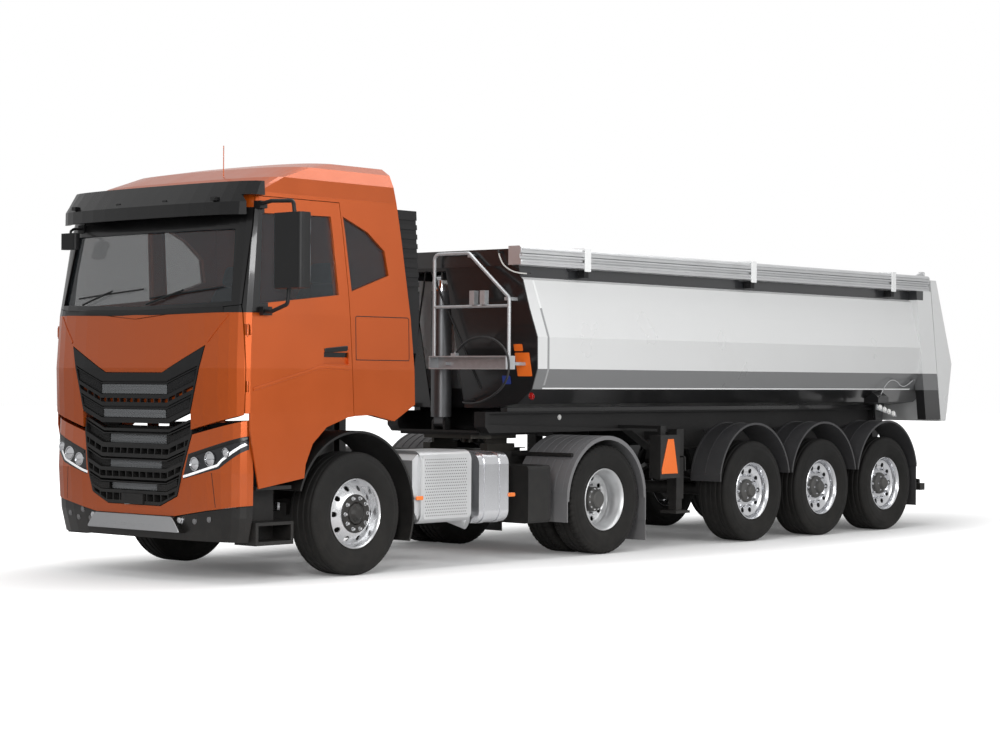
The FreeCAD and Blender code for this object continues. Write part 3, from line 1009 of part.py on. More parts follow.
def trailer_running_gear():
    pieces = []
    z = AXLE_Z
    y_mid = TRAILER_RAIL_Y + TRAILER_RAIL_W / 2
    for x in TRAILER_AXLES:
        beam = disc_y(x, z, 66, -880, 880)
        stubs = [disc_y(x, z, SPINDLE_R, sign * 870, sign * 1192) for sign in (1, -1)]
        parts = [beam] + stubs
        for sign in (1, -1):
            y = sign * y_mid
            parts.append(leaf_spring(x, y, z + 90, 520, 110, 90, 40))
            parts.append(box(x - 80, x + 80, y - 45, y + 45, z, z + 105))
        pieces.append(fuse(parts))
    hangers = []
    for x in (X_BOGIE + 1965, X_BOGIE + 655, X_BOGIE - 655, X_BOGIE - 1965):
        for sign in (1, -1):
            y = sign * y_mid
            hangers.append(prism_y([(x - 100, TRAILER_RAIL_DEEP_Z - SEAT_GAP), (x + 100, TRAILER_RAIL_DEEP_Z - SEAT_GAP),
                                    (x + 160, 800), (x + 160, 640), (x - 160, 640), (x - 160, 800)], y - 30, y + 30))
    node("trailer_axles", fuse(pieces + hangers))

    guards = []
    for index, x in enumerate(TRAILER_AXLES):
        for sign in (1, -1):
            parts = [along_arc(x, GUARD_Z, GUARD_R, GUARD_R + GUARD_T, 10, 170, sign * 862, sign * 1240)]
            for y in (862, 1030, 1222):
                parts.append(along_arc(x, GUARD_Z, GUARD_R + GUARD_T - 1, GUARD_R + GUARD_T + 7, 12, 168, sign * y,
                                       sign * (y + 18)))
            parts.append(rod(V(x, sign * (TRAILER_RAIL_Y + 78 + 5), 1140), V(x, sign * 870, 1222), 16))
            edge_x = GUARD_R * math.cos(math.radians(10))
            edge_z = GUARD_Z + GUARD_R * math.sin(math.radians(10))
            if index == 0:
                parts.append(box(x + edge_x, x + edge_x + GUARD_T, sign * 862, sign * 1240, 640, edge_z + 3))
            if index == len(TRAILER_AXLES) - 1:
                parts.append(box(x - edge_x - 14, x - edge_x - 4, sign * 870, sign * 1232, 255, edge_z + 20))
            guards.append(fuse(parts))
    node("trailer_mudguards", guards)


BODY_OUTER = [(0, 1400), (560, 1400), (900, 1445), (1100, 1583), (1200, 1774), (1250, 2070), (1200, 2330), (1165, 2600),
              (1140, 2625), (1140, BODY_TOP_Z)]
BODY_INNER = [(0, 1440), (545, 1440), (878, 1486), (1066, 1612), (1160, 1790), (1209, 2070), (1160, 2325), (1125, 2590),
              (1100, 2615), (1100, BODY_TOP_Z + 10)]


def mirrored_outline(half):
    return [(-y, z) for y, z in reversed(half[1:])] + half


def ram():
    top = RAM_EYE_Z - 130
    barrel = tube(V(RAM_X, 0, 1330), V(RAM_X, 0, top), RAM_R, RAM_R - RAM_STEP + RUN_GAP)
    cap = rod(V(RAM_X, 0, 1310), V(RAM_X, 0, 1332), RAM_R)
    lug = box(RAM_X - 40, RAM_X + 40, -58, 58, RAM_FOOT_Z, 1315).fuse(disc_y(RAM_X, RAM_FOOT_Z, 40, -58, 58))
    foot = lug.cut(disc_y(RAM_X, RAM_FOOT_Z, RAM_PIN_R + RUN_GAP, -60, 60))
    node("ram_barrel", fuse([barrel, cap, foot]))
    for stage in range(1, RAM_STAGES + 1):
        outer = RAM_R - RAM_STEP * stage
        low = 1334 + 6 * stage
        high = top + 12 * stage
        if stage < RAM_STAGES:
            node("ram_stage_%d" % stage, tube(V(RAM_X, 0, low), V(RAM_X, 0, high), outer, outer - RAM_STEP + RUN_GAP))
        else:
            shaft = rod(V(RAM_X, 0, low), V(RAM_X, 0, RAM_EYE_Z), outer)
            eye = disc_y(RAM_X, RAM_EYE_Z, 44, -38, 38)
            node("ram_stage_%d" % stage, fuse([shaft, eye]))


def tipping_body():
    front_top_x = X_PIN + 620
    front_low_x = X_PIN + 320
    rear_top_x = TAIL_X + 490
    rear_low_x = TAIL_X + 250
    side = [(front_top_x, BODY_TOP_Z + 40), (front_low_x, 1366), (rear_low_x + 20, 1366),
            (rear_top_x, BODY_TOP_Z + 40)]
    hollow = [(front_top_x - BODY_WALL, BODY_TOP_Z + 60), (front_low_x - BODY_WALL, 1366), (rear_low_x - 400, 1366),
              (rear_top_x - 400, BODY_TOP_Z + 60)]
    outer = prism_x(mirrored_outline(BODY_OUTER), TAIL_X, front_top_x + 100)
    inner = prism_x(mirrored_outline(BODY_INNER), TAIL_X - 50, front_top_x + 100)
    whole = outer.common(prism_y(side, -1300, 1300))
    load = inner.common(prism_y(hollow, -1300, 1300))
    well_side = [(WELL_FOOT_X, 1300), (WELL_FOOT_X, 1366), (WELL_BACK_X, BODY_TOP_Z - 30),
                 (front_top_x + 200, BODY_TOP_Z - 30), (front_top_x + 200, 1300)]
    well_in = prism_y(well_side, -WELL_HALF_W, WELL_HALF_W)
    shroud = [(WELL_FOOT_X - BODY_WALL, 1300), (WELL_FOOT_X - BODY_WALL, 1366), (WELL_BACK_X - BODY_WALL, BODY_TOP_Z),
              (front_top_x + 50, BODY_TOP_Z), (front_top_x + 50, 1300)]
    well_out = prism_y(shroud, -WELL_HALF_W - BODY_WALL, WELL_HALF_W + BODY_WALL)
    body = whole.cut(load.cut(well_out)).cut(well_in)
    beams = [box(WELL_BACK_X - 100, TIP_HINGE_X - 90, sign * (TRAILER_RAIL_Y + 30), sign * (TRAILER_RAIL_Y + 110),
                 TRAILER_RAIL_TOP_Z + SEAT_GAP, 1405) for sign in (1, -1)]
    ears = []
    for sign in (1, -1):
        y_out = TRAILER_RAIL_Y + TRAILER_RAIL_W
        ear = prism_y([(TIP_HINGE_X - 60, TIP_HINGE_Z - 40), (TIP_HINGE_X + 60, TIP_HINGE_Z - 40),
                       (TIP_HINGE_X + 110, 1430), (TIP_HINGE_X - 110, 1430)], sign * (y_out + 8), sign * (y_out + 36))
        ears.append(ear.cut(disc_y(TIP_HINGE_X, TIP_HINGE_Z, TIP_PIN_R + RUN_GAP, sign * y_out, sign * (y_out + 60))))
    eye_ears = [box(RAM_X - 60, RAM_X + 60, sign * 46, sign * 66, RAM_EYE_Z - 60, BODY_TOP_Z - 20) for sign in (1, -1)]
    head_beam = box(front_top_x - 70, front_top_x + 20, -1139, 1139, BODY_TOP_Z, RAIL_CAP_Z - 20)
    posts = []
    for sign in (1, -1):
        post_side = [(rear_top_x, BODY_TOP_Z), (rear_top_x + 320, BODY_TOP_Z), (rear_low_x + 330, 1240),
                     (rear_low_x, 1240)]
        post = prism_y(post_side, sign * 1140, sign * 1250)
        post = post.cut(inner)
        posts.append(post)
    hose_boss = ferrule(HOSE_ROUTE, False, HOSE_R + 7)
    hook_x = ROPE_ROUTE[-1].x - 22
    rope_hooks = [ferrule(ROPE_ROUTE, True, ROPE_R + 4), ferrule(ROPE_ROUTE, False, ROPE_R + 4),
                  rod(V(front_top_x, 945, 2854), V(ROPE_ROUTE[0].x, 945, 2854), 8),
                  rod(V(hook_x, 1130, 2651), V(hook_x, 1240, 2651), 8)]
    lamp_x = CABLE_ROUTE[0].x
    lamp_bracket = prism_x([(960, 1500), (1060, 1562), (1150, 1500), (1150, 1440), (960, 1440)], lamp_x - 150,
                           lamp_x + 70)
    clip_x, clip_z = CABLE_ROUTE[-1].x - 14, CABLE_ROUTE[-1].z + 8
    clip = box(clip_x - 20, clip_x, 1120, 1208, clip_z - 14, clip_z + 14)
    anchors = [hose_boss, lamp_bracket, clip, ferrule(CABLE_ROUTE, True, CABLE_R + 3),
               ferrule(CABLE_ROUTE, False, CABLE_R + 3)] + rope_hooks
    node("tipping_body", fuse([body, head_beam] + beams + ears + eye_ears + posts + anchors))
    node("air_hose", cord_tube("air_hose", HOSE_ROUTE, HOSE_R))
    node("sheet_rope", cord_tube("sheet_rope", ROPE_ROUTE, ROPE_R))
    node("tail_cable", cord_tube("tail_cable", CABLE_ROUTE, CABLE_R))

    rails = []
    for sign in (1, -1):
        outline = [(1100, BODY_TOP_Z + SEAT_GAP), (1250, BODY_TOP_Z + SEAT_GAP), (1250, 2780), (1236, 2790), (1236, 2830),
                   (1250, 2840), (1250, 2890), (1235, RAIL_CAP_Z), (1100, RAIL_CAP_Z)]
        rail = prism_x([(sign * y, z) for y, z in outline], rear_top_x + 30, X_PIN + 710)
        rail = rail.cut(head_beam)
        ear = prism_y([(rear_top_x + 150, RAIL_CAP_Z - 55), (rear_top_x + 150, RAIL_CAP_Z),
                       (GATE_HINGE_X + 20, GATE_HINGE_Z + 28), (GATE_HINGE_X - 24, GATE_HINGE_Z + 20),
                       (GATE_HINGE_X - 24, GATE_HINGE_Z - 24), (rear_top_x + 34, RAIL_CAP_Z - 35)],
                      sign * 1110, sign * 1135)
        ear = ear.cut(disc_y(GATE_HINGE_X, GATE_HINGE_Z, GATE_PIN_R + RUN_GAP, sign * 1000, sign * 1200))
        rails.append(fuse([rail, ear]))
    node("body_rails", rails)

    gate_front_top = rear_top_x - 8
    gate_front_low = rear_low_x - 8
    def front_at(z):
        return gate_front_top + (gate_front_low - gate_front_top) * (BODY_TOP_Z + 40 - z) / (BODY_TOP_Z + 40 - 1235.0)
    side_shape = [(front_at(2860), 2860), (TAIL_X + 370, 2860), (TAIL_X, 1890), (TAIL_X + 130, 1220),
                  (front_at(1220), 1220)]
    gate = prism_y(side_shape, -1250, 1250)
    back = [(TAIL_X + 250, 2990), (TAIL_X - 200, 2700), (TAIL_X - 200, 1000), (front_at(1000) - 70, 1000),
            (front_at(2990) - 70, 2990)]
    gate = gate.cut(prism_y(back, -1160, 1160))
    ribs = []
    for z in (1300, 1700, 2100, 2500):
        ribs.append(box(front_at(z) - 120, front_at(z) - 40, -1165, 1165, z, z + 60))
    ears = []
    for sign in (1, -1):
        ear = prism_y([(GATE_HINGE_X + 10, 2840), (GATE_HINGE_X + 24, GATE_HINGE_Z - 24),
                       (GATE_HINGE_X + 20, GATE_HINGE_Z + 28), (GATE_HINGE_X - 24, GATE_HINGE_Z + 28),
                       (GATE_HINGE_X - 30, 2840)], sign * 1080, sign * 1105)
        pin = disc_y(GATE_HINGE_X, GATE_HINGE_Z, GATE_PIN_R, sign * 1090, sign * 1140)
        ears += [ear, pin]
    node("tailgate", fuse([gate] + ribs + ears))

    x = PLATFORM_X
    platform = box(x - 70, x + 60, 150, 1120, 1767, 1892)
    platform = platform.cut(box(x - 60, x + 70, 160, 1110, 1780, 1880))
    loop = bent_rod([V(x, 165, 1880), V(x, 165, 2855), V(x, 600, 2855), V(x, 1105, 2430), V(x, 1105, 1880)], 60, 17)
    bar = rod(V(x, 165, 2355), V(x, 1105, 2355), 15)
    lights = [box(x - 15, x + 45, y, y + 60, 2368, 2500) for y in (650, 780)]
    stays = []
    for y, z in ((600, 2830), (1060, 2420), (300, 1820), (1060, 1820)):
        wall_x = front_low_x + (front_top_x - front_low_x) * (z - 1366) / (BODY_TOP_Z + 40 - 1366)
        if z > BODY_TOP_Z:
            wall_x = front_top_x + 20
        stays.append(box(min(wall_x - 30, x - 5), x, y - 15, y + 15, z - 15, z + 15))
    carried = fuse([body, head_beam])
    stays = [stay.cut(carried) for stay in stays]
    gland = ferrule(HOSE_ROUTE, True, HOSE_R + 7)
    foot = HOSE_ROUTE[0]
    gland_block = box(foot.x - 30, foot.x + 25, foot.y - 50, foot.y + 2, 1885, foot.z - 8)
    node("front_platform", fuse([platform, loop, bar, gland, gland_block] + lights + stays))


def build():
    front_wheels()
    drive_wheels()
    trailer_wheels()
    tractor_frame()
    axles()
    steering()
    front_end()
    fittings()
    cab()
    mirrors()
    trailer_frame()
    trailer_running_gear()
    ram()
    tipping_body()
    os.makedirs("parts", exist_ok=True)
    for name, shape in NODES.items():
        shape.translate(V(0, CENTRE_LINE_Y, 0))
        shape.exportStep("parts/%s.step" % name)


build()
print("%d nodes" % len(NODES))
for name, shape in NODES.items():
    b = shape.BoundBox
    print("%-24s solids %d valid %s vol %.4f m3 x %.0f %.0f y %.0f %.0f z %.0f %.0f" % (
        name, len(shape.Solids), shape.isValid(), shape.Volume / 1e9, b.XMin, b.XMax, b.YMin, b.YMax, b.ZMin, b.ZMax))
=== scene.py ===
# %% [markdown]
# # A tipping lorry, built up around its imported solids
# The lorry is a two-axle cab-over tractor with a three-axle half-pipe tipping semi-trailer. Its solids come
# in as a fixed frame, whose origin is under the middle of the whole box. Only the left side has a large
# mirror, so the lorry's own centre line lies at CENTRE_Y. The cells below add the camera, the finishes, the
# three free cords, and then the detail that a solid model leaves out: tyres, rims, lamps, meshes and trim.

import math

import bpy
import bmesh
import numpy as np
from mathutils import Matrix, Vector


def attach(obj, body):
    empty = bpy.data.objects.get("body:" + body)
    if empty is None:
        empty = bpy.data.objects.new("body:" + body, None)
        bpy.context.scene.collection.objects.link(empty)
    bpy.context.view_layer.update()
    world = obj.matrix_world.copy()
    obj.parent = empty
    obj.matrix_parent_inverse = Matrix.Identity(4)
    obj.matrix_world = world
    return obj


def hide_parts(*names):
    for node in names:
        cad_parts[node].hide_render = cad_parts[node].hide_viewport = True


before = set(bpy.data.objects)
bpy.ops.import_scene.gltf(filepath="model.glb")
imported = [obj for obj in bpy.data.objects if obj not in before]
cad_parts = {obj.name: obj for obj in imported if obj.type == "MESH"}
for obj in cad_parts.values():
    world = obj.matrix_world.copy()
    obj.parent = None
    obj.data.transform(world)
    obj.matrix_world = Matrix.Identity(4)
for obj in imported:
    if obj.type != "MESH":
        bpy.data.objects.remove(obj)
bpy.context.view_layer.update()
FRONT_AXLE, CENTRE_Y = 4.21, -0.305
SIDES = (("left", 1), ("right", -1))
FULL_TURN = 2 * math.pi

# %% [markdown]
# ## Camera
# The camera was solved from the wheels' circles and the lorry's straight edges. It stands at chest height,
# ahead of the lorry's left front corner, with a long lens, so parallel edges stay nearly parallel.

# %% Camera from a place, three angles and a focal length in pixels
FOCAL_PIXELS, IMAGE_WIDTH, SENSOR = 2230.0, 1000.0, 36.0
camera_place = Vector((17.653, 14.588 + CENTRE_Y, 1.664))
yaw, pitch, roll = math.radians(221.22), math.radians(0.14), math.radians(0.36)
ahead = Vector((math.cos(yaw) * math.cos(pitch), math.sin(yaw) * math.cos(pitch), math.sin(pitch)))
level = ahead.cross(Vector((0, 0, 1))).normalized()
upright = level.cross(ahead)
right = level * math.cos(roll) + upright * math.sin(roll)
up = upright * math.cos(roll) - level * math.sin(roll)
camera = bpy.data.objects.new("camera", bpy.data.cameras.new("camera"))
bpy.context.scene.collection.objects.link(camera)
camera.data.sensor_width = SENSOR
camera.data.lens = FOCAL_PIXELS * SENSOR / IMAGE_WIDTH
camera.data.clip_end = 200
camera.matrix_world = Matrix([(right[row], up[row], -ahead[row], camera_place[row]) for row in range(3)]
                             + [(0, 0, 0, 1)])
bpy.context.scene.camera = camera
print("lens", round(camera.data.lens, 1), "mm")

# %% [markdown]
# ## Shared effects as node groups
# Road vehicles share a few surface effects: uneven coats, road dust that thins with height, and a fine grain.
# One group mixes them, with its strengths as inputs, so every finish below is one group and one shader.


# %% Small tools for node trees
def wired(tree, node_type, inputs=(), **settings):
    """Adds a node; an input is a socket's name or number, and a value, a socket or a node's first output."""
    node = tree.nodes.new(node_type)
    for name, value in settings.items():
        setattr(node, name, value)
    for key, value in inputs:
        value = value.outputs[0] if isinstance(value, bpy.types.Node) else value
        if isinstance(value, bpy.types.NodeSocket):
            tree.links.new(value, node.inputs[key])
        else:
            node.inputs[key].default_value = value
    return node


def maths(tree, operation, *inputs, **settings):
    """Adds a maths node with its inputs in order."""
    return wired(tree, "ShaderNodeMath", enumerate(inputs), operation=operation, **settings)


def new_group(name, inputs, outputs):
    """A node group with named sockets; returns it, its input node, its output node and Object coordinates."""
    group = bpy.data.node_groups.new(name, "ShaderNodeTree")
    for label, kind, value in inputs:
        socket = group.interface.new_socket(name=label, in_out="INPUT", socket_type="NodeSocket" + kind)
        if value is not None:
            socket.default_value = value
    for label, kind in outputs:
        group.interface.new_socket(name=label, in_out="OUTPUT", socket_type="NodeSocket" + kind)
    given, made = group.nodes.new("NodeGroupInput"), group.nodes.new("NodeGroupOutput")
    return group, given.outputs, made.inputs, group.nodes.new("ShaderNodeTexCoord").outputs["Object"]


# %% The group: coat variation, dust and grain
DUST_TOP, DUST_FULL, DUST_SPECKLE = 1.5, 0.05, 9.0
surface, given, made, spot = new_group("coat_dust_grain", [
    ("Colour", "Color", (0.5, 0.5, 0.5, 1)), ("Dust colour", "Color", (0.30, 0.27, 0.23, 1)),
    ("Dust", "Float", 0.1), ("Roughness", "Float", 0.4), ("Patch size", "Float", 3.0),
    ("Patch strength", "Float", 0.08), ("Grain size", "Float", 400.0), ("Stretch", "Vector", (1, 1, 1))],
    [("Colour", "Color"), ("Roughness", "Float"), ("Height", "Float")])
stretched = wired(surface, "ShaderNodeVectorMath", [(0, spot), (1, given["Stretch"])], operation="MULTIPLY")
patches = wired(surface, "ShaderNodeTexNoise", [("Vector", spot), ("Detail", 4.0),
                                                ("Scale", given["Patch size"])])
grain = wired(surface, "ShaderNodeTexNoise", [("Vector", stretched), ("Detail", 3.0),
                                              ("Scale", given["Grain size"])])
centred = maths(surface, "SUBTRACT", patches, 0.5)
swing = maths(surface, "MULTIPLY_ADD", centred, given["Patch strength"], 1.0)
varied = wired(surface, "ShaderNodeVectorMath", [(0, given["Colour"]), ("Scale", swing)], operation="SCALE")
height = wired(surface, "ShaderNodeSeparateXYZ", [(0, spot)]).outputs["Z"]
low = wired(surface, "ShaderNodeMapRange", [("Value", height), ("From Min", DUST_TOP),
                                            ("From Max", DUST_FULL)])
speckle = wired(surface, "ShaderNodeTexNoise", [("Vector", spot), ("Scale", DUST_SPECKLE), ("Detail", 6.0)])
dust = maths(surface, "MULTIPLY", maths(surface, "MULTIPLY", low, speckle), given["Dust"], use_clamp=True)
coated = wired(surface, "ShaderNodeMix", [(0, dust), (6, varied), (7, given["Dust colour"])],
               data_type="RGBA")
rougher = maths(surface, "MULTIPLY_ADD", dust, 0.5, given["Roughness"])
uneven = maths(surface, "MULTIPLY_ADD", centred, 0.18, rougher)
surface.links.new(coated.outputs[2], made["Colour"])
surface.links.new(uneven.outputs[0], made["Roughness"])
surface.links.new(grain.outputs[0], made["Height"])
print("group", surface.name, "with", len(surface.nodes), "nodes")

# %% A second group puts another colour inside limits of x and z
zone, given, made, spot = new_group("colour_within_limits", [
    ("Colour", "Color", None), ("Inside colour", "Color", None), ("X from", "Float", 0.0),
    ("Lean", "Float", 0.0), ("Z from", "Float", 0.0), ("Z to", "Float", 1.0)], [("Colour", "Color")])
place = wired(zone, "ShaderNodeSeparateXYZ", [(0, spot)]).outputs
straight = maths(zone, "SUBTRACT", place["X"], maths(zone, "MULTIPLY", place["Z"], given["Lean"]))
past_x = maths(zone, "GREATER_THAN", straight, given["X from"])
above = maths(zone, "GREATER_THAN", place["Z"], given["Z from"])
below = maths(zone, "LESS_THAN", place["Z"], given["Z to"])
inside = maths(zone, "MULTIPLY", maths(zone, "MULTIPLY", above, below), past_x)
mixed = wired(zone, "ShaderNodeMix", [(0, inside), (6, given["Colour"]), (7, given["Inside colour"])],
              data_type="RGBA")
zone.links.new(mixed.outputs[2], made["Colour"])
print("group", zone.name, "with", len(zone.nodes), "nodes")

# %% [markdown]
# ## Finishes
# Each finish is one Principled shader fed by the group. Metal, coat and glass values that are the same all
# over sit on the shader's own sockets.


# %% Functions that make a finish, a finish with zones, and glass
def linear(red, green, blue):
    """Screen values from 0 to 255 as linear light."""
    share = np.array([red, green, blue]) / 255.0
    return tuple(np.where(share <= 0.04045, share / 12.92, ((share + 0.055) / 1.055) ** 2.4)) + (1.0,)


def finish(name, colour, roughness, metal=0.0, dust=0.08, patch=0.08, patch_size=3.0, grain_size=400.0,
           bump=0.1, stretch=(1, 1, 1), **sockets):
    """A material: the surface group feeds colour, roughness and bump; further names set shader sockets."""
    material = bpy.data.materials.new(name)
    material.use_nodes = True
    tree = material.node_tree
    shader = tree.nodes["Principled BSDF"]
    coat = tree.nodes.new("ShaderNodeGroup")
    coat.node_tree = surface
    values = {"Colour": linear(*colour), "Dust": dust, "Roughness": roughness, "Patch strength": patch,
              "Patch size": patch_size, "Grain size": grain_size, "Stretch": stretch}
    for key, value in values.items():
        coat.inputs[key].default_value = value
    relief = wired(tree, "ShaderNodeBump", [("Strength", bump), ("Distance", 0.0004),
                                            ("Height", coat.outputs["Height"])])
    tree.links.new(coat.outputs["Colour"], shader.inputs["Base Color"])
    tree.links.new(coat.outputs["Roughness"], shader.inputs["Roughness"])
    tree.links.new(relief.outputs["Normal"], shader.inputs["Normal"])
    shader.inputs["Metallic"].default_value = metal
    for key, value in sockets.items():
        shader.inputs[key.replace("_", " ")].default_value = value
    return material


def zoned(material, zones):
    """Puts other colours on parts of a finish; a zone is (colour, x from, lean, z from, z to)."""
    tree = material.node_tree
    coat = next(node for node in tree.nodes if node.type == "GROUP")
    last = None
    for colour, x_from, lean, z_from, z_to in zones:
        part_of = tree.nodes.new("ShaderNodeGroup")
        part_of.node_tree = zone
        part_of.inputs["Colour"].default_value = coat.inputs["Colour"].default_value
        if last:
            tree.links.new(last.outputs["Colour"], part_of.inputs["Colour"])
        part_of.inputs["Inside colour"].default_value = linear(*colour)
        for key, value in (("X from", x_from), ("Lean", lean), ("Z from", z_from), ("Z to", z_to)):
            part_of.inputs[key].default_value = value
        last = part_of
    tree.links.new(last.outputs["Colour"], coat.inputs["Colour"])
    return material


def glazing(name, tint, alpha):
    """Glass that is see-through with a faint tint, and a film that varies its roughness."""
    glass = bpy.data.materials.new(name)
    glass.use_nodes = True
    tree = glass.node_tree
    shader = tree.nodes["Principled BSDF"]
    where = tree.nodes.new("ShaderNodeTexCoord")
    film = wired(tree, "ShaderNodeTexNoise", [("Scale", 2.5), ("Vector", where.outputs["Object"])])
    ramp = wired(tree, "ShaderNodeMapRange", [("To Min", 0.02), ("To Max", 0.07), ("Value", film)])
    tree.links.new(ramp.outputs[0], shader.inputs["Roughness"])
    shader.inputs["Base Color"].default_value = linear(*tint)
    shader.inputs["Alpha"].default_value = alpha
    shader.inputs["Specular IOR Level"].default_value = 0.8
    return glass


print("finish makers ready")

# %% Paints, with black pillars, and the tipping body's zones: painted shade and a charcoal front wall
ORANGE = dict(colour=(172, 73, 5), roughness=0.34, metal=0.5, patch=0.05, grain_size=900.0, bump=0.05,
              Coat_Weight=0.3, Coat_Roughness=0.06)
SILVER = dict(colour=(216, 217, 217), roughness=0.3, metal=0.12, patch=0.035, patch_size=1.2, Coat_Weight=0.5,
              Coat_Roughness=0.08)
EVERYWHERE, WALL_LEAN, WALL_X, WALL_Z = -9.0, 0.2137, 1.76, 1.366
orange_paint = finish("orange_metallic_paint", **ORANGE)
pillar_paint = zoned(finish("orange_paint_black_pillars", **ORANGE),
                     [((12, 12, 13), FRONT_AXLE + 1.062, 0.0, 2.20, 3.06)])
body_silver = finish("light_grey_body_paint", **SILVER)
# The tipping body's zones: mid grey below z 1.774 is painted shade on the band that faces down, near black
# below z 1.583 is painted shade on the underside, the dark band from z 2.622 to 2.728 is a painted shadow
# under the top rail, and the leaning front wall is the body's own charcoal.
body_paint_and_painted_shade = zoned(finish("tipping_body_coat_and_painted_shade", **SILVER), [
    ((104, 105, 106), EVERYWHERE, 0.0, 0, 1.774), ((34, 34, 35), EVERYWHERE, 0.0, 0, 1.583),
    ((40, 41, 43), -5.0, 0.0, 2.622, 2.728), ((24, 24, 25), 1.4561, WALL_LEAN, 0, 4)])
# Mid grey for strips on the body's front edges: painted shade.
body_painted_shade = finish("mid_grey_bevel_painted_shade", (150, 151, 152), 0.3, metal=0.1, patch=0.05)
# White for the sheet clamps, and for strips along the body's edges that are painted highlights.
body_white_and_highlight = finish("white_clamp_and_highlight_paint", (232, 233, 233), 0.4, patch=0.03)
charcoal = finish("charcoal_body_paint", (22, 22, 23), 0.42, patch=0.3, patch_size=5.0, grain_size=200.0,
                  Specular_IOR_Level=0.3)
black_frame = finish("black_chassis_paint", (20, 20, 21), 0.5, dust=0.12, patch=0.25, grain_size=300.0,
                     bump=0.2, Specular_IOR_Level=0.35)
signal_orange = finish("signal_orange", (235, 110, 28), 0.5, patch=0.1)
signal_blue = finish("signal_blue", (42, 62, 140), 0.5, patch=0.1)

# %% Plastics, rubber, lenses and soft finishes
black_gloss = finish("black_gloss_trim", (9, 9, 10), 0.3, patch=0.1, grain_size=600.0,
                     Specular_IOR_Level=0.35)
black_plastic = finish("black_moulded_plastic", (14, 14, 15), 0.5, patch=0.15, grain_size=700.0, bump=0.3,
                       Specular_IOR_Level=0.3)
rubber = finish("tyre_rubber", (11, 11, 11), 0.7, dust=0.06, patch=0.2, patch_size=8.0, grain_size=260.0,
                bump=0.3, Specular_IOR_Level=0.25)
guard_grey = finish("grey_guard_plastic", (104, 104, 106), 0.5, dust=0.15, patch=0.15, grain_size=500.0,
                    bump=0.25)
guard_dark = finish("dark_guard_plastic", (52, 52, 54), 0.4, dust=0.1, patch=0.15, grain_size=500.0,
                    bump=0.25)
amber_lens = finish("amber_lens", (240, 120, 25), 0.15, patch=0.05, Coat_Weight=0.6)
red_lens = finish("red_lens", (150, 18, 16), 0.15, patch=0.05, Coat_Weight=0.6)
white_lens = finish("white_lens", (228, 228, 226), 0.2, patch=0.04, Coat_Weight=0.6)
led_white = finish("led_line_white", (236, 238, 240), 0.25, patch=0.03, Emission_Strength=0.25)
lamp_dark = finish("lamp_housing", (38, 39, 42), 0.3, metal=0.4, patch=0.1)
cloth = finish("seat_cloth", (44, 44, 47), 0.9, dust=0.0, patch=0.2, grain_size=700.0, bump=0.6,
               Sheen_Weight=0.3)
cab_plastic = finish("cab_inner_plastic", (58, 58, 60), 0.65, dust=0.0, patch=0.1, grain_size=900.0, bump=0.3)
hose_rubber = finish("hose_rubber", (30, 30, 31), 0.5, patch=0.1, grain_size=900.0)
rope_fibre = finish("rope_fibre", (196, 196, 192), 0.8, patch=0.2, grain_size=900.0, bump=0.8)
cable_sheath = finish("cable_sheath", (168, 169, 170), 0.45, patch=0.1, grain_size=900.0)
cab_glazing = glazing("cab_glass", (40, 46, 50), 0.42)

# %% Metals
steel_bright = finish("bright_steel_rim", (205, 206, 208), 0.26, metal=0.85, dust=0.1, patch=0.1,
                      grain_size=500.0)
alloy = finish("polished_aluminium", (214, 215, 218), 0.2, metal=0.95, patch=0.1, stretch=(0.05, 1, 1))
alloy_plain = finish("mill_aluminium", (206, 207, 208), 0.38, metal=0.8, patch=0.12, grain_size=220.0,
                     stretch=(0.04, 1, 1))
galvanised = finish("galvanised_steel", (178, 180, 182), 0.45, metal=0.6, patch=0.35, patch_size=22.0,
                    grain_size=120.0)
skid_silver = finish("silver_skid_plate", (160, 161, 163), 0.42, metal=0.55, patch=0.08)
mesh_grey = finish("light_mesh_metal", (104, 106, 108), 0.4, metal=0.5, patch=0.1)
engine_grey = finish("engine_casting", (70, 71, 72), 0.6, metal=0.4, dust=0.3, patch=0.4, grain_size=90.0,
                     bump=0.5)
mirror_face = finish("mirror_face", (185, 188, 192), 0.05, metal=1.0, patch=0.02, bump=0.0)
ram_steel = finish("ram_steel", (92, 93, 95), 0.35, metal=0.7, patch=0.15)
chrome = finish("chromed_ram_stage", (200, 201, 204), 0.12, metal=1.0, patch=0.05)
grease_steel = finish("greased_steel", (60, 58, 54), 0.35, metal=0.7, patch=0.3, patch_size=12.0)
print("finishes", len(bpy.data.materials))

# %% [markdown]
# ## Finishes on the solids that stay
# Most solids already have the right shape, so they only swap their plain colour for a finish.

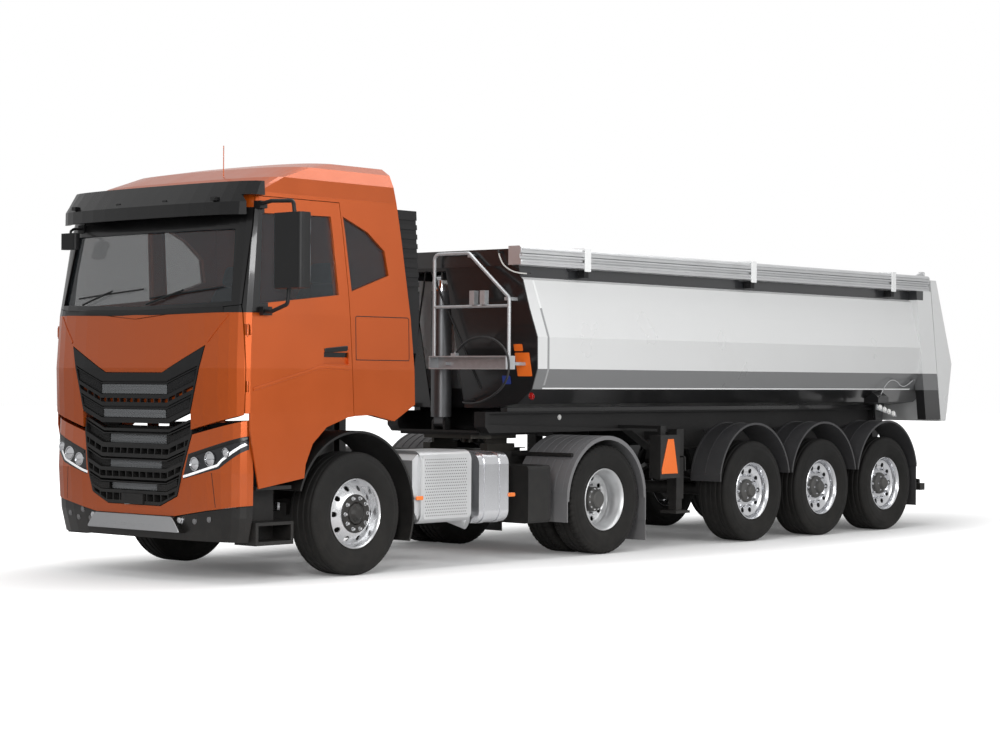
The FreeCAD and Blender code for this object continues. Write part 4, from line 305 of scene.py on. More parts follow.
# %% Give every solid its finish
finish_nodes = [
    (orange_paint, "cab_roof front_bumper"), (pillar_paint, "cab_shell front_panel door_left door_right"),
    (cab_glazing, "cab_glass door_glass_left door_glass_right"), (black_gloss, "bumper_skirt sun_visor"),
    (black_plastic, "upper_grille lower_grille mirror_left kerb_mirror air_stack wheel_arches"),
    (black_plastic, "boarding_steps battery_box"), (lamp_dark, "headlamps"), (cab_plastic, "cab_interior"),
    (black_frame, "tractor_frame front_axle drive_axle knuckle_left knuckle_right trailer_frame"),
    (black_frame, "landing_legs trailer_axles"), (engine_grey, "engine_block"),
    (alloy_plain, "exhaust_box body_rails"),
    (alloy, "fuel_tanks"), (guard_grey, "tractor_mudguards"), (guard_dark, "trailer_mudguards"),
    (grease_steel, "fifth_wheel"), (steel_bright, "front_rim_left front_rim_right"),
    (body_paint_and_painted_shade, "tipping_body"), (body_silver, "tailgate"), (galvanised, "front_platform"),
    (ram_steel, "ram_barrel"),
    (hose_rubber, "air_hose"), (rope_fibre, "sheet_rope"), (cable_sheath, "tail_cable")]
chosen_finish = {name: coat for coat, names in finish_nodes for name in names.split()}
for name, node_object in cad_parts.items():
    otherwise = chrome if name.startswith("ram_stage") else rubber
    node_object.data.materials.clear()
    node_object.data.materials.append(chosen_finish.get(name, otherwise))
print("solids finished", len(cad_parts))

# %% [markdown]
# ## The three free cords
# An air hose loops in front of the body, a short rope hangs at the rail's front corner, and a thin cable
# feeds the rear marker lamp. Each is one smooth curve along the solid's own route points, with a round bevel.

# %% Cords from their routes
HOSE_ROUTE = [(2.150, 0.460, 1.925), (2.160, 0.550, 2.015), (2.190, 0.770, 2.075), (2.220, 1.010, 2.050),
              (2.240, 1.180, 1.920), (2.240, 1.200, 1.740), (2.210, 1.090, 1.590), (2.160, 0.870, 1.490),
              (2.080, 0.620, 1.440), (2.010, 0.360, 1.462), (1.800, 0.350, 1.470)]
ROPE_ROUTE = [(2.112, 0.950, 2.842), (2.112, 0.975, 2.760), (2.100, 1.060, 2.690), (2.070, 1.150, 2.655),
              (2.008, 1.203, 2.652)]
CABLE_ROUTE = [(-4.270, 1.140, 1.530), (-4.298, 1.172, 1.628), (-4.395, 1.192, 1.700), (-4.520, 1.197, 1.688),
               (-4.610, 1.197, 1.622), (-4.735, 1.200, 1.628), (-4.862, 1.197, 1.692)]


def free_cord(name, node, route, diameter, coat):
    """A hanging cord that rides on the tipping body."""
    route = [(x, y + CENTRE_Y, z) for x, y, z in route]
    curve = bpy.data.curves.new(name, "CURVE")
    curve.dimensions = "3D"
    curve.bevel_depth = diameter / 2
    curve.bevel_resolution = 4
    curve.resolution_u = 12
    curve.use_fill_caps = True
    spline = curve.splines.new("NURBS")
    spline.points.add(len(route) - 1)
    for point, spot in zip(spline.points, route):
        point.co = (*spot, 1.0)
    spline.order_u = 3
    spline.use_endpoint_u = True
    cord = bpy.data.objects.new(name, curve)
    bpy.context.scene.collection.objects.link(cord)
    curve.materials.append(coat)
    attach(cord, "tipping_body")
    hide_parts(node)


free_cord("air_hose_loop", "air_hose", HOSE_ROUTE, 0.022, hose_rubber)
free_cord("sheet_tie_rope", "sheet_rope", ROPE_ROUTE, 0.014, rope_fibre)
free_cord("rear_lamp_cable", "tail_cable", CABLE_ROUTE, 0.010, cable_sheath)
print("cords declared", 3)

# %% [markdown]
# ## Studio
# The lorry stands on a white floor that keeps its soft shadow. The floor is a pale diffuse sheet that glows
# for the camera, and the glow is turned down around the lorry: a painted shadow stays grey near it, and the
# far part reaches white.

# %% Floor, with a painted shadow around the lorry
FLOOR_HALF, PAINTED_SHADOW_FADE_FROM, PAINTED_SHADOW_FADE_TO, PAINTED_SHADOW_GLOW, GLOW_HIGH = 90, 1.4, 3.6, 0.08, 1.1
PAINTED_SHADOW_SQUEEZE = (0.30, 1.0, 1.0)
floor_mesh = bpy.data.meshes.new("studio_floor")
floor_mesh.from_pydata([(x * FLOOR_HALF, y * FLOOR_HALF, 0) for x, y in ((-1, -1), (1, -1), (1, 1), (-1, 1))],
                       [], [(0, 1, 2, 3)])
studio_floor = bpy.data.objects.new("studio_floor", floor_mesh)
bpy.context.scene.collection.objects.link(studio_floor)
floor_with_painted_shadow = bpy.data.materials.new("floor_with_painted_shadow")
floor_with_painted_shadow.use_nodes = True
tree = floor_with_painted_shadow.node_tree
shader = tree.nodes["Principled BSDF"]
for key, value in (("Base Color", (0.86, 0.86, 0.86, 1)), ("Roughness", 0.9), ("Specular IOR Level", 0.1),
                   ("Emission Color", (1, 1, 1, 1))):
    shader.inputs[key].default_value = value
rays = tree.nodes.new("ShaderNodeLightPath").outputs
spot = tree.nodes.new("ShaderNodeTexCoord").outputs["Object"]
# Painted shadow: the distance is squeezed along the lorry's length, and the glow rises from its low value
# near the lorry to white between the two fade distances.
flat = wired(tree, "ShaderNodeVectorMath", [(0, spot), (1, PAINTED_SHADOW_SQUEEZE)], operation="MULTIPLY")
far = wired(tree, "ShaderNodeVectorMath", [(0, flat)], operation="LENGTH").outputs["Value"]
share = wired(tree, "ShaderNodeMapRange", [("Value", far), ("From Min", PAINTED_SHADOW_FADE_FROM), ("From Max", PAINTED_SHADOW_FADE_TO),
              ("To Min", PAINTED_SHADOW_GLOW), ("To Max", GLOW_HIGH)], interpolation_type="SMOOTHSTEP")
glow = maths(tree, "MULTIPLY", rays["Is Camera Ray"], share)
tree.links.new(glow.outputs[0], shader.inputs["Emission Strength"])
floor_mesh.materials.append(floor_with_painted_shadow)

# %% Sky and lamps
GLOSS_SHARE, LIGHT_SHARE = 0.75, 0.34
world = bpy.data.worlds.new("studio_sky")
bpy.context.scene.world = world
world.use_nodes = True
tree = world.node_tree
rays = tree.nodes.new("ShaderNodeLightPath").outputs
seen = maths(tree, "MAXIMUM", rays["Is Camera Ray"], rays["Is Transmission Ray"])
seen_or_gloss = maths(tree, "MULTIPLY_ADD", rays["Is Glossy Ray"], GLOSS_SHARE, seen)
strength = maths(tree, "MAXIMUM", seen_or_gloss, LIGHT_SHARE)
tree.links.new(strength.outputs[0], tree.nodes["Background"].inputs["Strength"])
tree.nodes["Background"].inputs["Color"].default_value = (1, 1, 1, 1)


def soft_lamp(name, place, target, width, height, power):
    lamp = bpy.data.lights.new(name, "AREA")
    lamp.shape = "RECTANGLE"
    lamp.size, lamp.size_y, lamp.energy = width, height, power
    holder = bpy.data.objects.new(name, lamp)
    bpy.context.scene.collection.objects.link(holder)
    holder.location = Vector(place) + Vector((0, CENTRE_Y, 0))
    holder.rotation_euler = (Vector(target) - Vector(place)).to_track_quat("-Z", "Y").to_euler()


soft_lamp("overhead_box", (0, 1, 9.5), (0, 0, 0), 13, 5, 620)
soft_lamp("side_box", (1, 13, 5.5), (0, 0, 1.5), 12, 4, 640)
soft_lamp("corner_strip", (11, 7, 4.0), (5, 0, 1.8), 1.2, 5, 480)
bpy.context.scene.view_settings.view_transform = "Standard"
print("lamps", len(bpy.data.lights))

# %% [markdown]
# ## Making pieces from arrays
# A shape is a grid of points worked out at once with numpy: a profile turned about an axle, an outline pushed
# through with a chamfered edge, or a section carried along a path. One function makes the object, merges
# doubled points, turns the faces outwards and marks sharp edges.


# %% Grids, joins and the object maker
def grid_faces(rows, columns, around=False, over=False):
    """Quads between neighbours of a grid stored row by row; around and over close its columns and rows."""
    row = np.arange(rows if over else rows - 1)[:, None]
    column = np.arange(columns if around else columns - 1)[None, :]
    next_row, after = (row + 1) % rows, (column + 1) % columns
    quads = np.stack([row * columns + column, row * columns + after, next_row * columns + after,
                      next_row * columns + column], -1)
    return quads.reshape(-1, 4).tolist()


def end_caps(rows, count):
    """One face over the first ring of a grid and one over its last."""
    return [list(range(count))[::-1], list(range((rows - 1) * count, rows * count))]


def joined(*shapes):
    """Several (points, faces) shapes as one."""
    points, faces, offset = [], [], 0
    for shape_points, shape_faces in shapes:
        shape_points = np.asarray(shape_points, float).reshape(-1, 3)
        points.append(shape_points)
        faces += [[index + offset for index in face] for face in shape_faces]
        offset += len(shape_points)
    return np.concatenate(points), faces


def piece(name, body, shape, coat, slot=None, sharp=35, merge=0.00005):
    """Makes a mesh object that rides on a body: doubles merged, faces outwards, sharp edges marked."""
    points, faces = shape
    mesh = bpy.data.meshes.new(name)
    mesh.from_pydata((np.asarray(points, float).reshape(-1, 3) + [0, CENTRE_Y, 0]).tolist(), [], faces)
    work = bmesh.new()
    work.from_mesh(mesh)
    bmesh.ops.remove_doubles(work, verts=work.verts, dist=merge)
    bmesh.ops.recalc_face_normals(work, faces=work.faces)
    work.to_mesh(mesh)
    work.free()
    mesh.shade_smooth()
    mesh.set_sharp_from_angle(angle=math.radians(sharp))
    mesh.materials.append(coat)
    made_piece = bpy.data.objects.new(name, mesh)
    bpy.context.scene.collection.objects.link(made_piece)
    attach(made_piece, body)
    return made_piece


# %% Shapes: turned, pushed, carried
def turned(profile, x, z, segments=96, start=0.0, sweep=360.0):
    """Profile of (radius, y) turned about the line along Y through (x, z): (x + r cos a, y, z + r sin a)."""
    profile = np.asarray(profile, float)
    full = sweep >= 360
    angles = np.radians(start + sweep * np.arange(segments + (0 if full else 1)) / segments)
    radius, y = profile[:, 0][:, None], profile[:, 1][:, None]
    points = np.stack([x + radius * np.cos(angles), y + 0 * angles, z + radius * np.sin(angles)], -1)
    return points, grid_faces(len(profile), len(angles), full)


def axes_of(normal):
    """Two directions square to a normal and to each other."""
    normal = np.asarray(normal, float) / np.linalg.norm(normal)
    helper = np.array([0, 0, 1.0]) if abs(normal[2]) < 0.9 else np.array([1.0, 0, 0])
    across = np.cross(helper, normal)
    across /= np.linalg.norm(across)
    return across, np.cross(normal, across), normal


CORNER_STEPS = 5


def rounded(outline, radius):
    """Closed 2D outline; each corner P becomes (1-t)^2 A + 2t(1-t) P + t^2 B, with A and B at the radius."""
    corner = np.asarray(outline, float)
    before, after = np.roll(corner, 1, 0) - corner, np.roll(corner, -1, 0) - corner
    before_length, after_length = np.linalg.norm(before, axis=1), np.linalg.norm(after, axis=1)
    reach = np.minimum(radius, 0.45 * np.minimum(before_length, after_length))[:, None]
    first = corner + before / before_length[:, None] * reach
    last = corner + after / after_length[:, None] * reach
    t = np.linspace(0, 1, CORNER_STEPS)[None, :, None]
    curve = (1 - t) ** 2 * first[:, None] + 2 * t * (1 - t) * corner[:, None] + t ** 2 * last[:, None]
    return curve.reshape(-1, 2)


def oblong(left, right_edge, bottom, top, radius):
    """A rounded rectangle as a closed 2D outline."""
    return rounded([(left, bottom), (right_edge, bottom), (right_edge, top), (left, top)], radius)


def inset(outline, distance):
    """Closed 2D outline moved inwards, square to the line between each point's neighbours."""
    ahead_of, behind = np.roll(outline, -1, 0), np.roll(outline, 1, 0)
    way = ahead_of - behind
    length = np.maximum(np.linalg.norm(way, axis=1, keepdims=True), 1e-9)
    inward = np.stack([-way[:, 1], way[:, 0]], -1) / length
    area = np.sum(outline[:, 0] * ahead_of[:, 1] - ahead_of[:, 0] * outline[:, 1])
    return outline + inward * distance * (1 if area > 0 else -1)


def pushed(outline, origin, across, along, way, depth, edge=0.002):
    """Closed outline in the plane (origin, across, along), pushed along way by depth with chamfered edges."""
    outline = np.asarray(outline, float)
    origin, across, along, way = (np.asarray(v, float) for v in (origin, across, along, way))
    small = inset(outline, edge)
    levels = [(small, 0.0), (outline, edge), (outline, depth - edge), (small, depth)]
    rows = [origin + ring[:, :1] * across + ring[:, 1:] * along + rise * way for ring, rise in levels]
    return np.stack(rows), grid_faces(4, len(outline), True) + end_caps(4, len(outline))


def plate_y(outline, y, thickness, edge=0.002):
    """Outline of (x, z) pushed along Y."""
    return pushed(outline, (0, y, 0), (1, 0, 0), (0, 0, 1), (0, 1, 0), thickness, edge)


def plate_x(outline, x, thickness, edge=0.002):
    """Outline of (y, z) pushed along X."""
    return pushed(outline, (x, 0, 0), (0, 1, 0), (0, 0, 1), (1, 0, 0), thickness, edge)


def carried(section, path, closed_path=False):
    """A closed section of (across, up) carried along a path: a ring is P + across s + up n, s kept level."""
    section, path = np.asarray(section, float), np.asarray(path, float)
    way = np.roll(path, -1, 0) - np.roll(path, 1, 0) if closed_path else np.gradient(path, axis=0)
    way /= np.linalg.norm(way, axis=1, keepdims=True)
    helper = np.where(np.abs(way[:, 2:]) < 0.95, [[0, 0, 1.0]], [[1.0, 0, 0]])
    across = np.cross(way, helper)
    across /= np.linalg.norm(across, axis=1, keepdims=True)
    normal = np.cross(across, way)
    points = path[:, None] + section[None, :, :1] * across[:, None] + section[None, :, 1:] * normal[:, None]
    faces = grid_faces(len(path), len(section), True, closed_path)
    return points, faces if closed_path else faces + end_caps(len(path), len(section))


def circle(radius, count=12, squash=1.0):
    """A closed round section."""
    angle = np.linspace(0, FULL_TURN, count, endpoint=False)
    return np.stack([radius * np.cos(angle), radius * squash * np.sin(angle)], -1)


def smooth_path(points, steps=8):
    """A curve through the points: cubic blends of each point and its neighbours (Catmull-Rom)."""
    knots = np.asarray(points, float)
    padded = np.concatenate([2 * knots[:1] - knots[1:2], knots, 2 * knots[-1:] - knots[-2:-1]])
    a, b, c, d = (padded[shift:len(padded) - 3 + shift, None] for shift in range(4))
    t = np.linspace(0, 1, steps, endpoint=False)[None, :, None]
    curve = 0.5 * (2 * b + (c - a) * t + (2 * a - 5 * b + 4 * c - d) * t ** 2
                   + (3 * b - 3 * c + d - a) * t ** 3)
    return np.concatenate([curve.reshape(-1, knots.shape[1]), knots[-1:]])


def bump_at(value, centre, half, soft):
    """1 within half of the centre, falling to 0 over soft."""
    return np.clip((half + soft - np.abs(value - centre)) / soft, 0, 1)


BOLT_LEVELS = [(1.35, 0.0), (1.35, 0.15), (1.0, 0.16), (1.0, 0.85), (0.8, 1.0)]


def hexagons(centres, way, radius, rise, sides=6):
    """Bolt heads: a chamfered prism with a flat washer at each centre, pointing along way."""
    across, along, normal = axes_of(way)
    ring = circle(1.0, sides)[:, :1] * across + circle(1.0, sides)[:, 1:] * along
    one = np.stack([ring * radius * share + normal * rise * lift for share, lift in BOLT_LEVELS])
    points = np.asarray(centres, float).reshape(-1, 1, 1, 3) + one[None]
    per = len(BOLT_LEVELS) * sides
    base = grid_faces(len(BOLT_LEVELS), sides, True) + [list(range(per - sides, per))]
    return points, [[index + per * copy for index in face] for copy in range(len(points)) for face in base]


print("shape makers ready")

# %% [markdown]
# ## Tyres
# A lorry tyre is a turned section whose outer face is cut by the tread. The section is a smooth curve through
# bead, sidewall, shoulder and crown. The tread is a depth worked out on the same grid: ribs between straight
# grooves, and short cross cuts that differ between steered, driven and trailer wheels.

# %% Tyre surface
AXLE_Z, TYRE_R = 0.525, 0.525
GROOVE_DEPTH, RING_RISE = 0.012, 0.0022
BEAD = [(0.2870, 0.70), (0.2875, 0.775), (0.3040, 0.80), (0.3350, 0.905), (0.3780, 0.985), (0.4180, 1.0),
        (0.4550, 0.985), (0.4850, 0.955), (0.5060, 0.905), (0.5180, 0.84), (0.5235, 0.76), (0.5250, 0.66)]
WALL_RINGS = [(0.345, 0.004, 0.002), (0.37, 0.002, 0.002), (0.432, 0.012, 0.004), (0.474, 0.003, 0.002)]
# A tread is its grooves and where its cross cuts begin, both as shares of the half width, and between them
# the cuts' number and depth. The last number is how many points go around.
RIB_TREAD = ((-0.62, -0.22, 0.22, 0.62), 90, 0.004, 0.8, 288)
LUG_TREAD = ((-0.45, 0.0, 0.45), 54, 0.010, 0.30, 240)
WIDE_TREAD = ((-0.66, -0.34, 0, 0.34, 0.66), 80, 0.003, 0.85, 240)


def tyre_shape(x, centre_y, width, tread):
    """Radius r(a, s) = section(s) - grooves(y) - cross cuts(a, y); sidewall rings push y outwards."""
    grooves, cuts, cut_depth, cut_from, segments = tread
    half_section = smooth_path(BEAD, 3) * [1, width / 2]
    crown = np.stack([np.full(25, TYRE_R), np.linspace(0.64, -0.64, 25) * width / 2], -1)
    section = np.concatenate([half_section, crown, (half_section * [1, -1])[::-1]])
    radius, y = section[:, 0][:, None], section[:, 1][:, None]
    angle = np.linspace(0, FULL_TURN, segments, endpoint=False)[None, :]
    share = np.abs(y) / (width / 2)
    depth = sum(GROOVE_DEPTH * bump_at(y, groove * width / 2, 0.004, 0.003) for groove in grooves)
    phase = np.mod(angle * cuts / FULL_TURN + np.where(y > 0, 0.0, 0.5), 1.0)
    notch = bump_at(phase, 0.5, 0.10, 0.06) * (share > cut_from) * (radius > 0.492)
    rings = RING_RISE * sum(bump_at(radius, *ring) for ring in WALL_RINGS)
    tread_radius = radius - depth * (radius > 0.51) - cut_depth * notch
    place_y = centre_y + y + np.sign(y) * rings * (share > 0.7)
    points = np.stack([x + tread_radius * np.cos(angle), place_y + 0 * angle,
                       AXLE_Z + tread_radius * np.sin(angle)], -1)
    return points, grid_faces(len(section), segments, True, True)


# %% [markdown]
# ## Wheels
# A disc wheel is a barrel, a dished disc with ten round hand holes, and a hub with ten nuts. The disc is made
# from one tenth: points between a round hole and the edge of a pie slice, which then repeats around the axle.


# %% Rim, disc and hub shapes
def from_face(face, sign, steps):
    """Steps of (radius, rise from the wheel's face) as (radius, y)."""
    return [(radius, face + sign * rise) for radius, rise in steps]


def lathe(x, face, sign, steps, segments):
    """Steps turned about the wheel's axle."""
    return turned(from_face(face, sign, steps), x, AXLE_Z, segments)


def disc_tenth(profile, sign, holes, thickness):
    """Points blend from the hole's circle to the slice's edge; y follows the dish profile y(r)."""
    hole_r, hole_size, inner, outer = holes
    c, s = circle(1.0, 48).T
    stretch = 1 / np.maximum(np.abs(c), np.abs(s))
    edge_r = hole_r + np.where(c > 0, outer - hole_r, hole_r - inner) * c * stretch
    edge_a = math.radians(18) * s * stretch
    edge = np.stack([edge_r * np.cos(edge_a), edge_r * np.sin(edge_a)], -1)
    hole = np.stack([hole_r + hole_size * c, hole_size * s], -1)
    blend = np.array([1.0, 0.75, 0.5, 0.25, 0.1, 0.0])[:, None, None]
    flat = hole + (edge - hole) * blend
    radii, depths = np.array(profile, float).T
    height = np.interp(np.linalg.norm(flat, axis=-1), radii, depths)
    face = np.concatenate([flat, height[..., None]], -1)
    back = (face - [0, 0, sign * thickness])[::-1]
    return np.concatenate([face, back]), grid_faces(12, 48, True)


def disc_shape(x, sign, profile, holes, thickness=0.012):
    """The tenth turned ten times; holes are (circle, size, disc's inner radius, outer radius)."""
    one, faces = disc_tenth(profile, sign, holes, thickness)
    one = one.reshape(-1, 3)
    turns = np.radians(36 * np.arange(10))[:, None]
    points = np.stack([x + one[:, 0] * np.cos(turns) - one[:, 1] * np.sin(turns), one[:, 2] + 0 * turns,
                       AXLE_Z + one[:, 0] * np.sin(turns) + one[:, 1] * np.cos(turns)], -1)
    return points, [[index + len(one) * copy for index in face] for copy in range(10) for face in faces]


def barrel_shape(x, centre_y, width, sign):
    """The rim's barrel with a rolled flange at each edge, as one closed turned section."""
    h = width / 2
    outside = [(0.2860, -h + 0.012), (0.2985, -h + 0.002), (0.2985, -h - 0.006), (0.2930, -h - 0.010),
               (0.2780, -h + 0.004), (0.2740, -h + 0.05), (0.2520, -h + 0.08), (0.2480, 0.0),
               (0.2620, h - 0.06), (0.2740, h - 0.03), (0.2790, h - 0.006), (0.2930, h + 0.010),
               (0.2985, h + 0.006), (0.2985, h - 0.002), (0.2860, h - 0.012), (0.2850, 0.0),
               (0.2860, -h + 0.012)]
    return lathe(x, centre_y, sign, outside, 96)


def fixings(x, face, sign, rings):
    """Hexagon heads about the axle; a ring is (count, turn, circle, rise, head's radius, height)."""
    shapes = []
    for count, turn, radius, rise, head, tall in rings:
        angle = np.radians(turn) + FULL_TURN * np.arange(count) / count
        centres = np.stack([x + radius * np.cos(angle), np.full(count, face + sign * rise),
                            AXLE_Z + radius * np.sin(angle)], -1)
        shapes.append(hexagons(centres, (0, sign, 0), head, tall))
    return joined(*shapes)


def wheel(body, names, shapes, rim_coat, hub_look, nut_coat, replaced):
    """Makes a wheel's tyre, rim, hub and fixings, in that order; the first ones replace the given nodes."""
    looks = [(rubber, "tyre_rubber", 40), (rim_coat, "rim_silver", 30), (*hub_look, 25),
             (nut_coat, "rim_silver")]
    made = [piece(name, body, shape, *look) for name, shape, look in zip(names.split(), shapes, looks)]
    for made_piece, node in zip(made, replaced):
        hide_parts(node)


print("wheel shapes ready")

# %% Steered wheels: bright disc, black hub ring, dark facetted cap
FRONT_Y, FRONT_W = 1.065, 0.315
FRONT_DISH = [(0.16, 0.118), (0.185, 0.110), (0.215, 0.092), (0.25, 0.066), (0.268, 0.058)]
FRONT_WEB = [(0.166, 0.104), (0.166, 0.119), (0.10, 0.121), (0.10, 0.104), (0.166, 0.104)]
HUB_RING = [(0.162, 0.119), (0.165, 0.127), (0.158, 0.133), (0.10, 0.135), (0.094, 0.128), (0.094, 0.05),
            (0.15, 0.05), (0.162, 0.119)]
HUB_CAP = [(0.0005, 0.171), (0.040, 0.171), (0.047, 0.166), (0.070, 0.142), (0.088, 0.138), (0.094, 0.128),
           (0.094, 0.06), (0.0005, 0.06)]
FRONT_DRUM = [(0.205, -0.02), (0.21, 0.03), (0.10, 0.06), (0.10, -0.02), (0.205, -0.02)]
FRONT_HOLES, FRONT_NUTS = (0.222, 0.0235, 0.162, 0.266), [(10, 0, 0.135, 0.132, 0.0135, 0.024)]
for side, sign in SIDES:
    x, y = FRONT_AXLE, sign * FRONT_Y
    disc = joined(barrel_shape(x, y, 0.25, sign), lathe(x, y, sign, FRONT_WEB, 60),
                  disc_shape(x, sign, from_face(y, sign, FRONT_DISH), FRONT_HOLES))
    hub = joined(*[lathe(x, y, sign, steps, segments)
                   for steps, segments in ((HUB_RING, 60), (HUB_CAP, 10), (FRONT_DRUM, 48))])
    shapes = tyre_shape(x, y, FRONT_W, RIB_TREAD), disc, hub, fixings(x, y, sign, FRONT_NUTS)
    names = "front_tyre_{0}_tread front_rim_{0}_disc front_hub_{0} front_nuts_{0}".format(side)
    wheel("front_wheel_" + side, names, shapes, steel_bright, (black_frame, "chassis_black"), steel_bright,
          ["front_tyre_" + side, "front_rim_" + side])
print("steered wheels", 2)

# %% Driven wheels: two tyres a side on deep-dished silver rims
DRIVE_X, OUTER_Y, INNER_Y, TWIN_W, DRIVE_FACE = 0.84, 1.085, 0.745, 0.290, 1.0
DRIVE_DISH = [(0.10, 0), (0.17, 0), (0.19, -0.004), (0.235, 0.004), (0.262, 0.05)]
DRIVE_EDGE = [(0.262, -0.02), (0.262, 0.06), (0.258, 0.06), (0.250, 0.0), (0.258, -0.02), (0.262, -0.02)]
DRIVE_HUB = [(0.0005, 0.142), (0.070, 0.142), (0.080, 0.136), (0.092, 0.110), (0.112, 0.100), (0.118, 0.088),
             (0.120, 0.0), (0.0005, 0.0)]
DRIVE_DRUM = [(0.215, -0.30), (0.22, -0.04), (0.12, -0.02), (0.12, -0.30), (0.215, -0.30)]
DRIVE_HOLES = (0.205, 0.024, 0.12, 0.258)
DRIVE_NUTS = [(10, 0, 0.1455, 0.001, 0.016, 0.036), (12, 15, 0.101, 0.104, 0.008, 0.008)]
for side, sign in SIDES:
    x, face = DRIVE_X, sign * DRIVE_FACE
    twin = joined(*[tyre_shape(x, sign * y, TWIN_W, LUG_TREAD) for y in (OUTER_Y, INNER_Y)])
    disc = joined(barrel_shape(x, sign * OUTER_Y, 0.23, sign), barrel_shape(x, sign * INNER_Y, 0.23, -sign),
                  disc_shape(x, sign, from_face(face, sign, DRIVE_DISH), DRIVE_HOLES),
                  lathe(x, face, sign, DRIVE_EDGE, 60))
    hub = joined(lathe(x, face, sign, DRIVE_HUB, 40), lathe(x, face, sign, DRIVE_DRUM, 48))
    names = "drive_tyres_{0} drive_rims_{0} drive_hub_{0} drive_nuts_{0}".format(side)
    wheel("drive_wheels_" + side, names, (twin, disc, hub, fixings(x, face, sign, DRIVE_NUTS)), alloy_plain,
          (engine_grey, "engine_grey"), steel_bright, ["drive_wheels_" + side])
print("driven wheels", 2)

# %% Trailer wheels: wide single tyres on polished rims
TRAILER_AXLES = (-1.65, -2.96, -4.27)
WIDE_Y, WIDE_W, WIDE_FACE = 1.045, 0.380, 1.12
WIDE_DISH = [(0.11, 0), (0.165, 0), (0.20, -0.003), (0.24, 0.004), (0.264, 0.02)]
WIDE_HUB = [(0.0005, 0.088), (0.050, 0.088), (0.060, 0.080), (0.068, 0.050), (0.095, 0.042), (0.115, 0.026),
            (0.121, 0.010), (0.122, -0.02), (0.0005, -0.02)]
WIDE_DRUM = [(0.215, -0.26), (0.22, -0.05), (0.12, -0.03), (0.12, -0.26), (0.215, -0.26)]
WIDE_HOLES = (0.212, 0.027, 0.12, 0.262)
WIDE_NUTS = [(10, 0, 0.1675, 0, 0.0155, 0.032), (6, 0, 0.082, 0.046, 0.008, 0.010)]
for number, x in enumerate(TRAILER_AXLES, 1):
    for side, sign in SIDES:
        body = "trailer_wheel_%d_%s" % (number, side)
        y, face = sign * WIDE_Y, sign * WIDE_FACE
        disc = joined(barrel_shape(x, y, 0.30, sign),
                      disc_shape(x, sign, from_face(face, sign, WIDE_DISH), WIDE_HOLES, 0.018))
        hub = joined(lathe(x, face, sign, WIDE_HUB, 40), lathe(x, face, sign, WIDE_DRUM, 48))
        shapes = tyre_shape(x, y, WIDE_W, WIDE_TREAD), disc, hub, fixings(x, face, sign, WIDE_NUTS)
        wheel(body, "{0}_tyre {0}_rim {0}_hub {0}_nuts".format(body), shapes, alloy,
              (engine_grey, "engine_grey"), alloy, [body])
print("trailer wheels", 6)

# %% [markdown]
# ## Laying detail on curved solids
# Most trim follows a curved panel. A probe mesh is moved along one axis until it meets the solid, and its
# points give the depth for strips, meshes and lenses, so nothing on the surface is measured again.

# %% Probe points and laid strips
PROBE_START = (6.4, 1.7)
STRIP_SHARES, STRIP_SINK = np.array([-0.5, -0.42, 0.0, 0.42, 0.5]), 0.002


def laid(points, node_name, axis=0, sign=1, offset=0.0):
    """Moves points along an axis, against sign, until they meet a solid, and then back out by the offset.

    The front is the same on both sides, so a point ahead of it is probed at |y|. A point that meets nothing
    takes its depth from its neighbours in the list.
    """
    wanted = np.asarray(points, float).reshape(-1, 3)
    start = wanted.copy()
    if axis == 0:
        start[:, 1] = np.abs(start[:, 1])
    mesh = bpy.data.meshes.new("probe")
    mesh.from_pydata((start + [0, CENTRE_Y, 0]).tolist(), [], [])
    probe = bpy.data.objects.new("probe", mesh)
    bpy.context.scene.collection.objects.link(probe)
    wrap = probe.modifiers.new("lay", "SHRINKWRAP")
    wrap.wrap_method = "PROJECT"
    wrap.use_project_x, wrap.use_project_y, wrap.use_project_z = (axis == index for index in range(3))
    wrap.use_negative_direction, wrap.use_positive_direction = sign > 0, sign < 0
    wrap.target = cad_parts[node_name]
    evaluated = probe.evaluated_get(bpy.context.evaluated_depsgraph_get())
    found = np.empty(start.size)
    evaluated.data.vertices.foreach_get("co", found)
    found = found.reshape(-1, 3) - [0, CENTRE_Y, 0]
    bpy.data.objects.remove(probe)
    bpy.data.meshes.remove(mesh)
    met = np.abs(found[:, axis] - start[:, axis]) > 0.0001
    if not met.all():
        order = np.arange(len(start))
        found[:, axis] = np.interp(order, order[met], found[met, axis])
    found[:, axis] += offset * sign
    if axis == 0:
        found[:, 1] = wanted[:, 1]
    return found


def front_points(y_and_z):
    """Points of (y, z) placed ahead of the lorry, ready to be laid on its front."""
    return np.insert(np.asarray(y_and_z, float), 0, PROBE_START[0], axis=-1)


def between(points, count):
    """Evenly spaced points along straight runs between the given ones."""
    points = np.asarray(points, float)
    reach = np.concatenate([[0], np.cumsum(np.linalg.norm(np.diff(points, axis=0), axis=1))])
    wanted = np.linspace(0, reach[-1], count)
    return np.stack([np.interp(wanted, reach, points[:, axis]) for axis in range(points.shape[1])], -1)


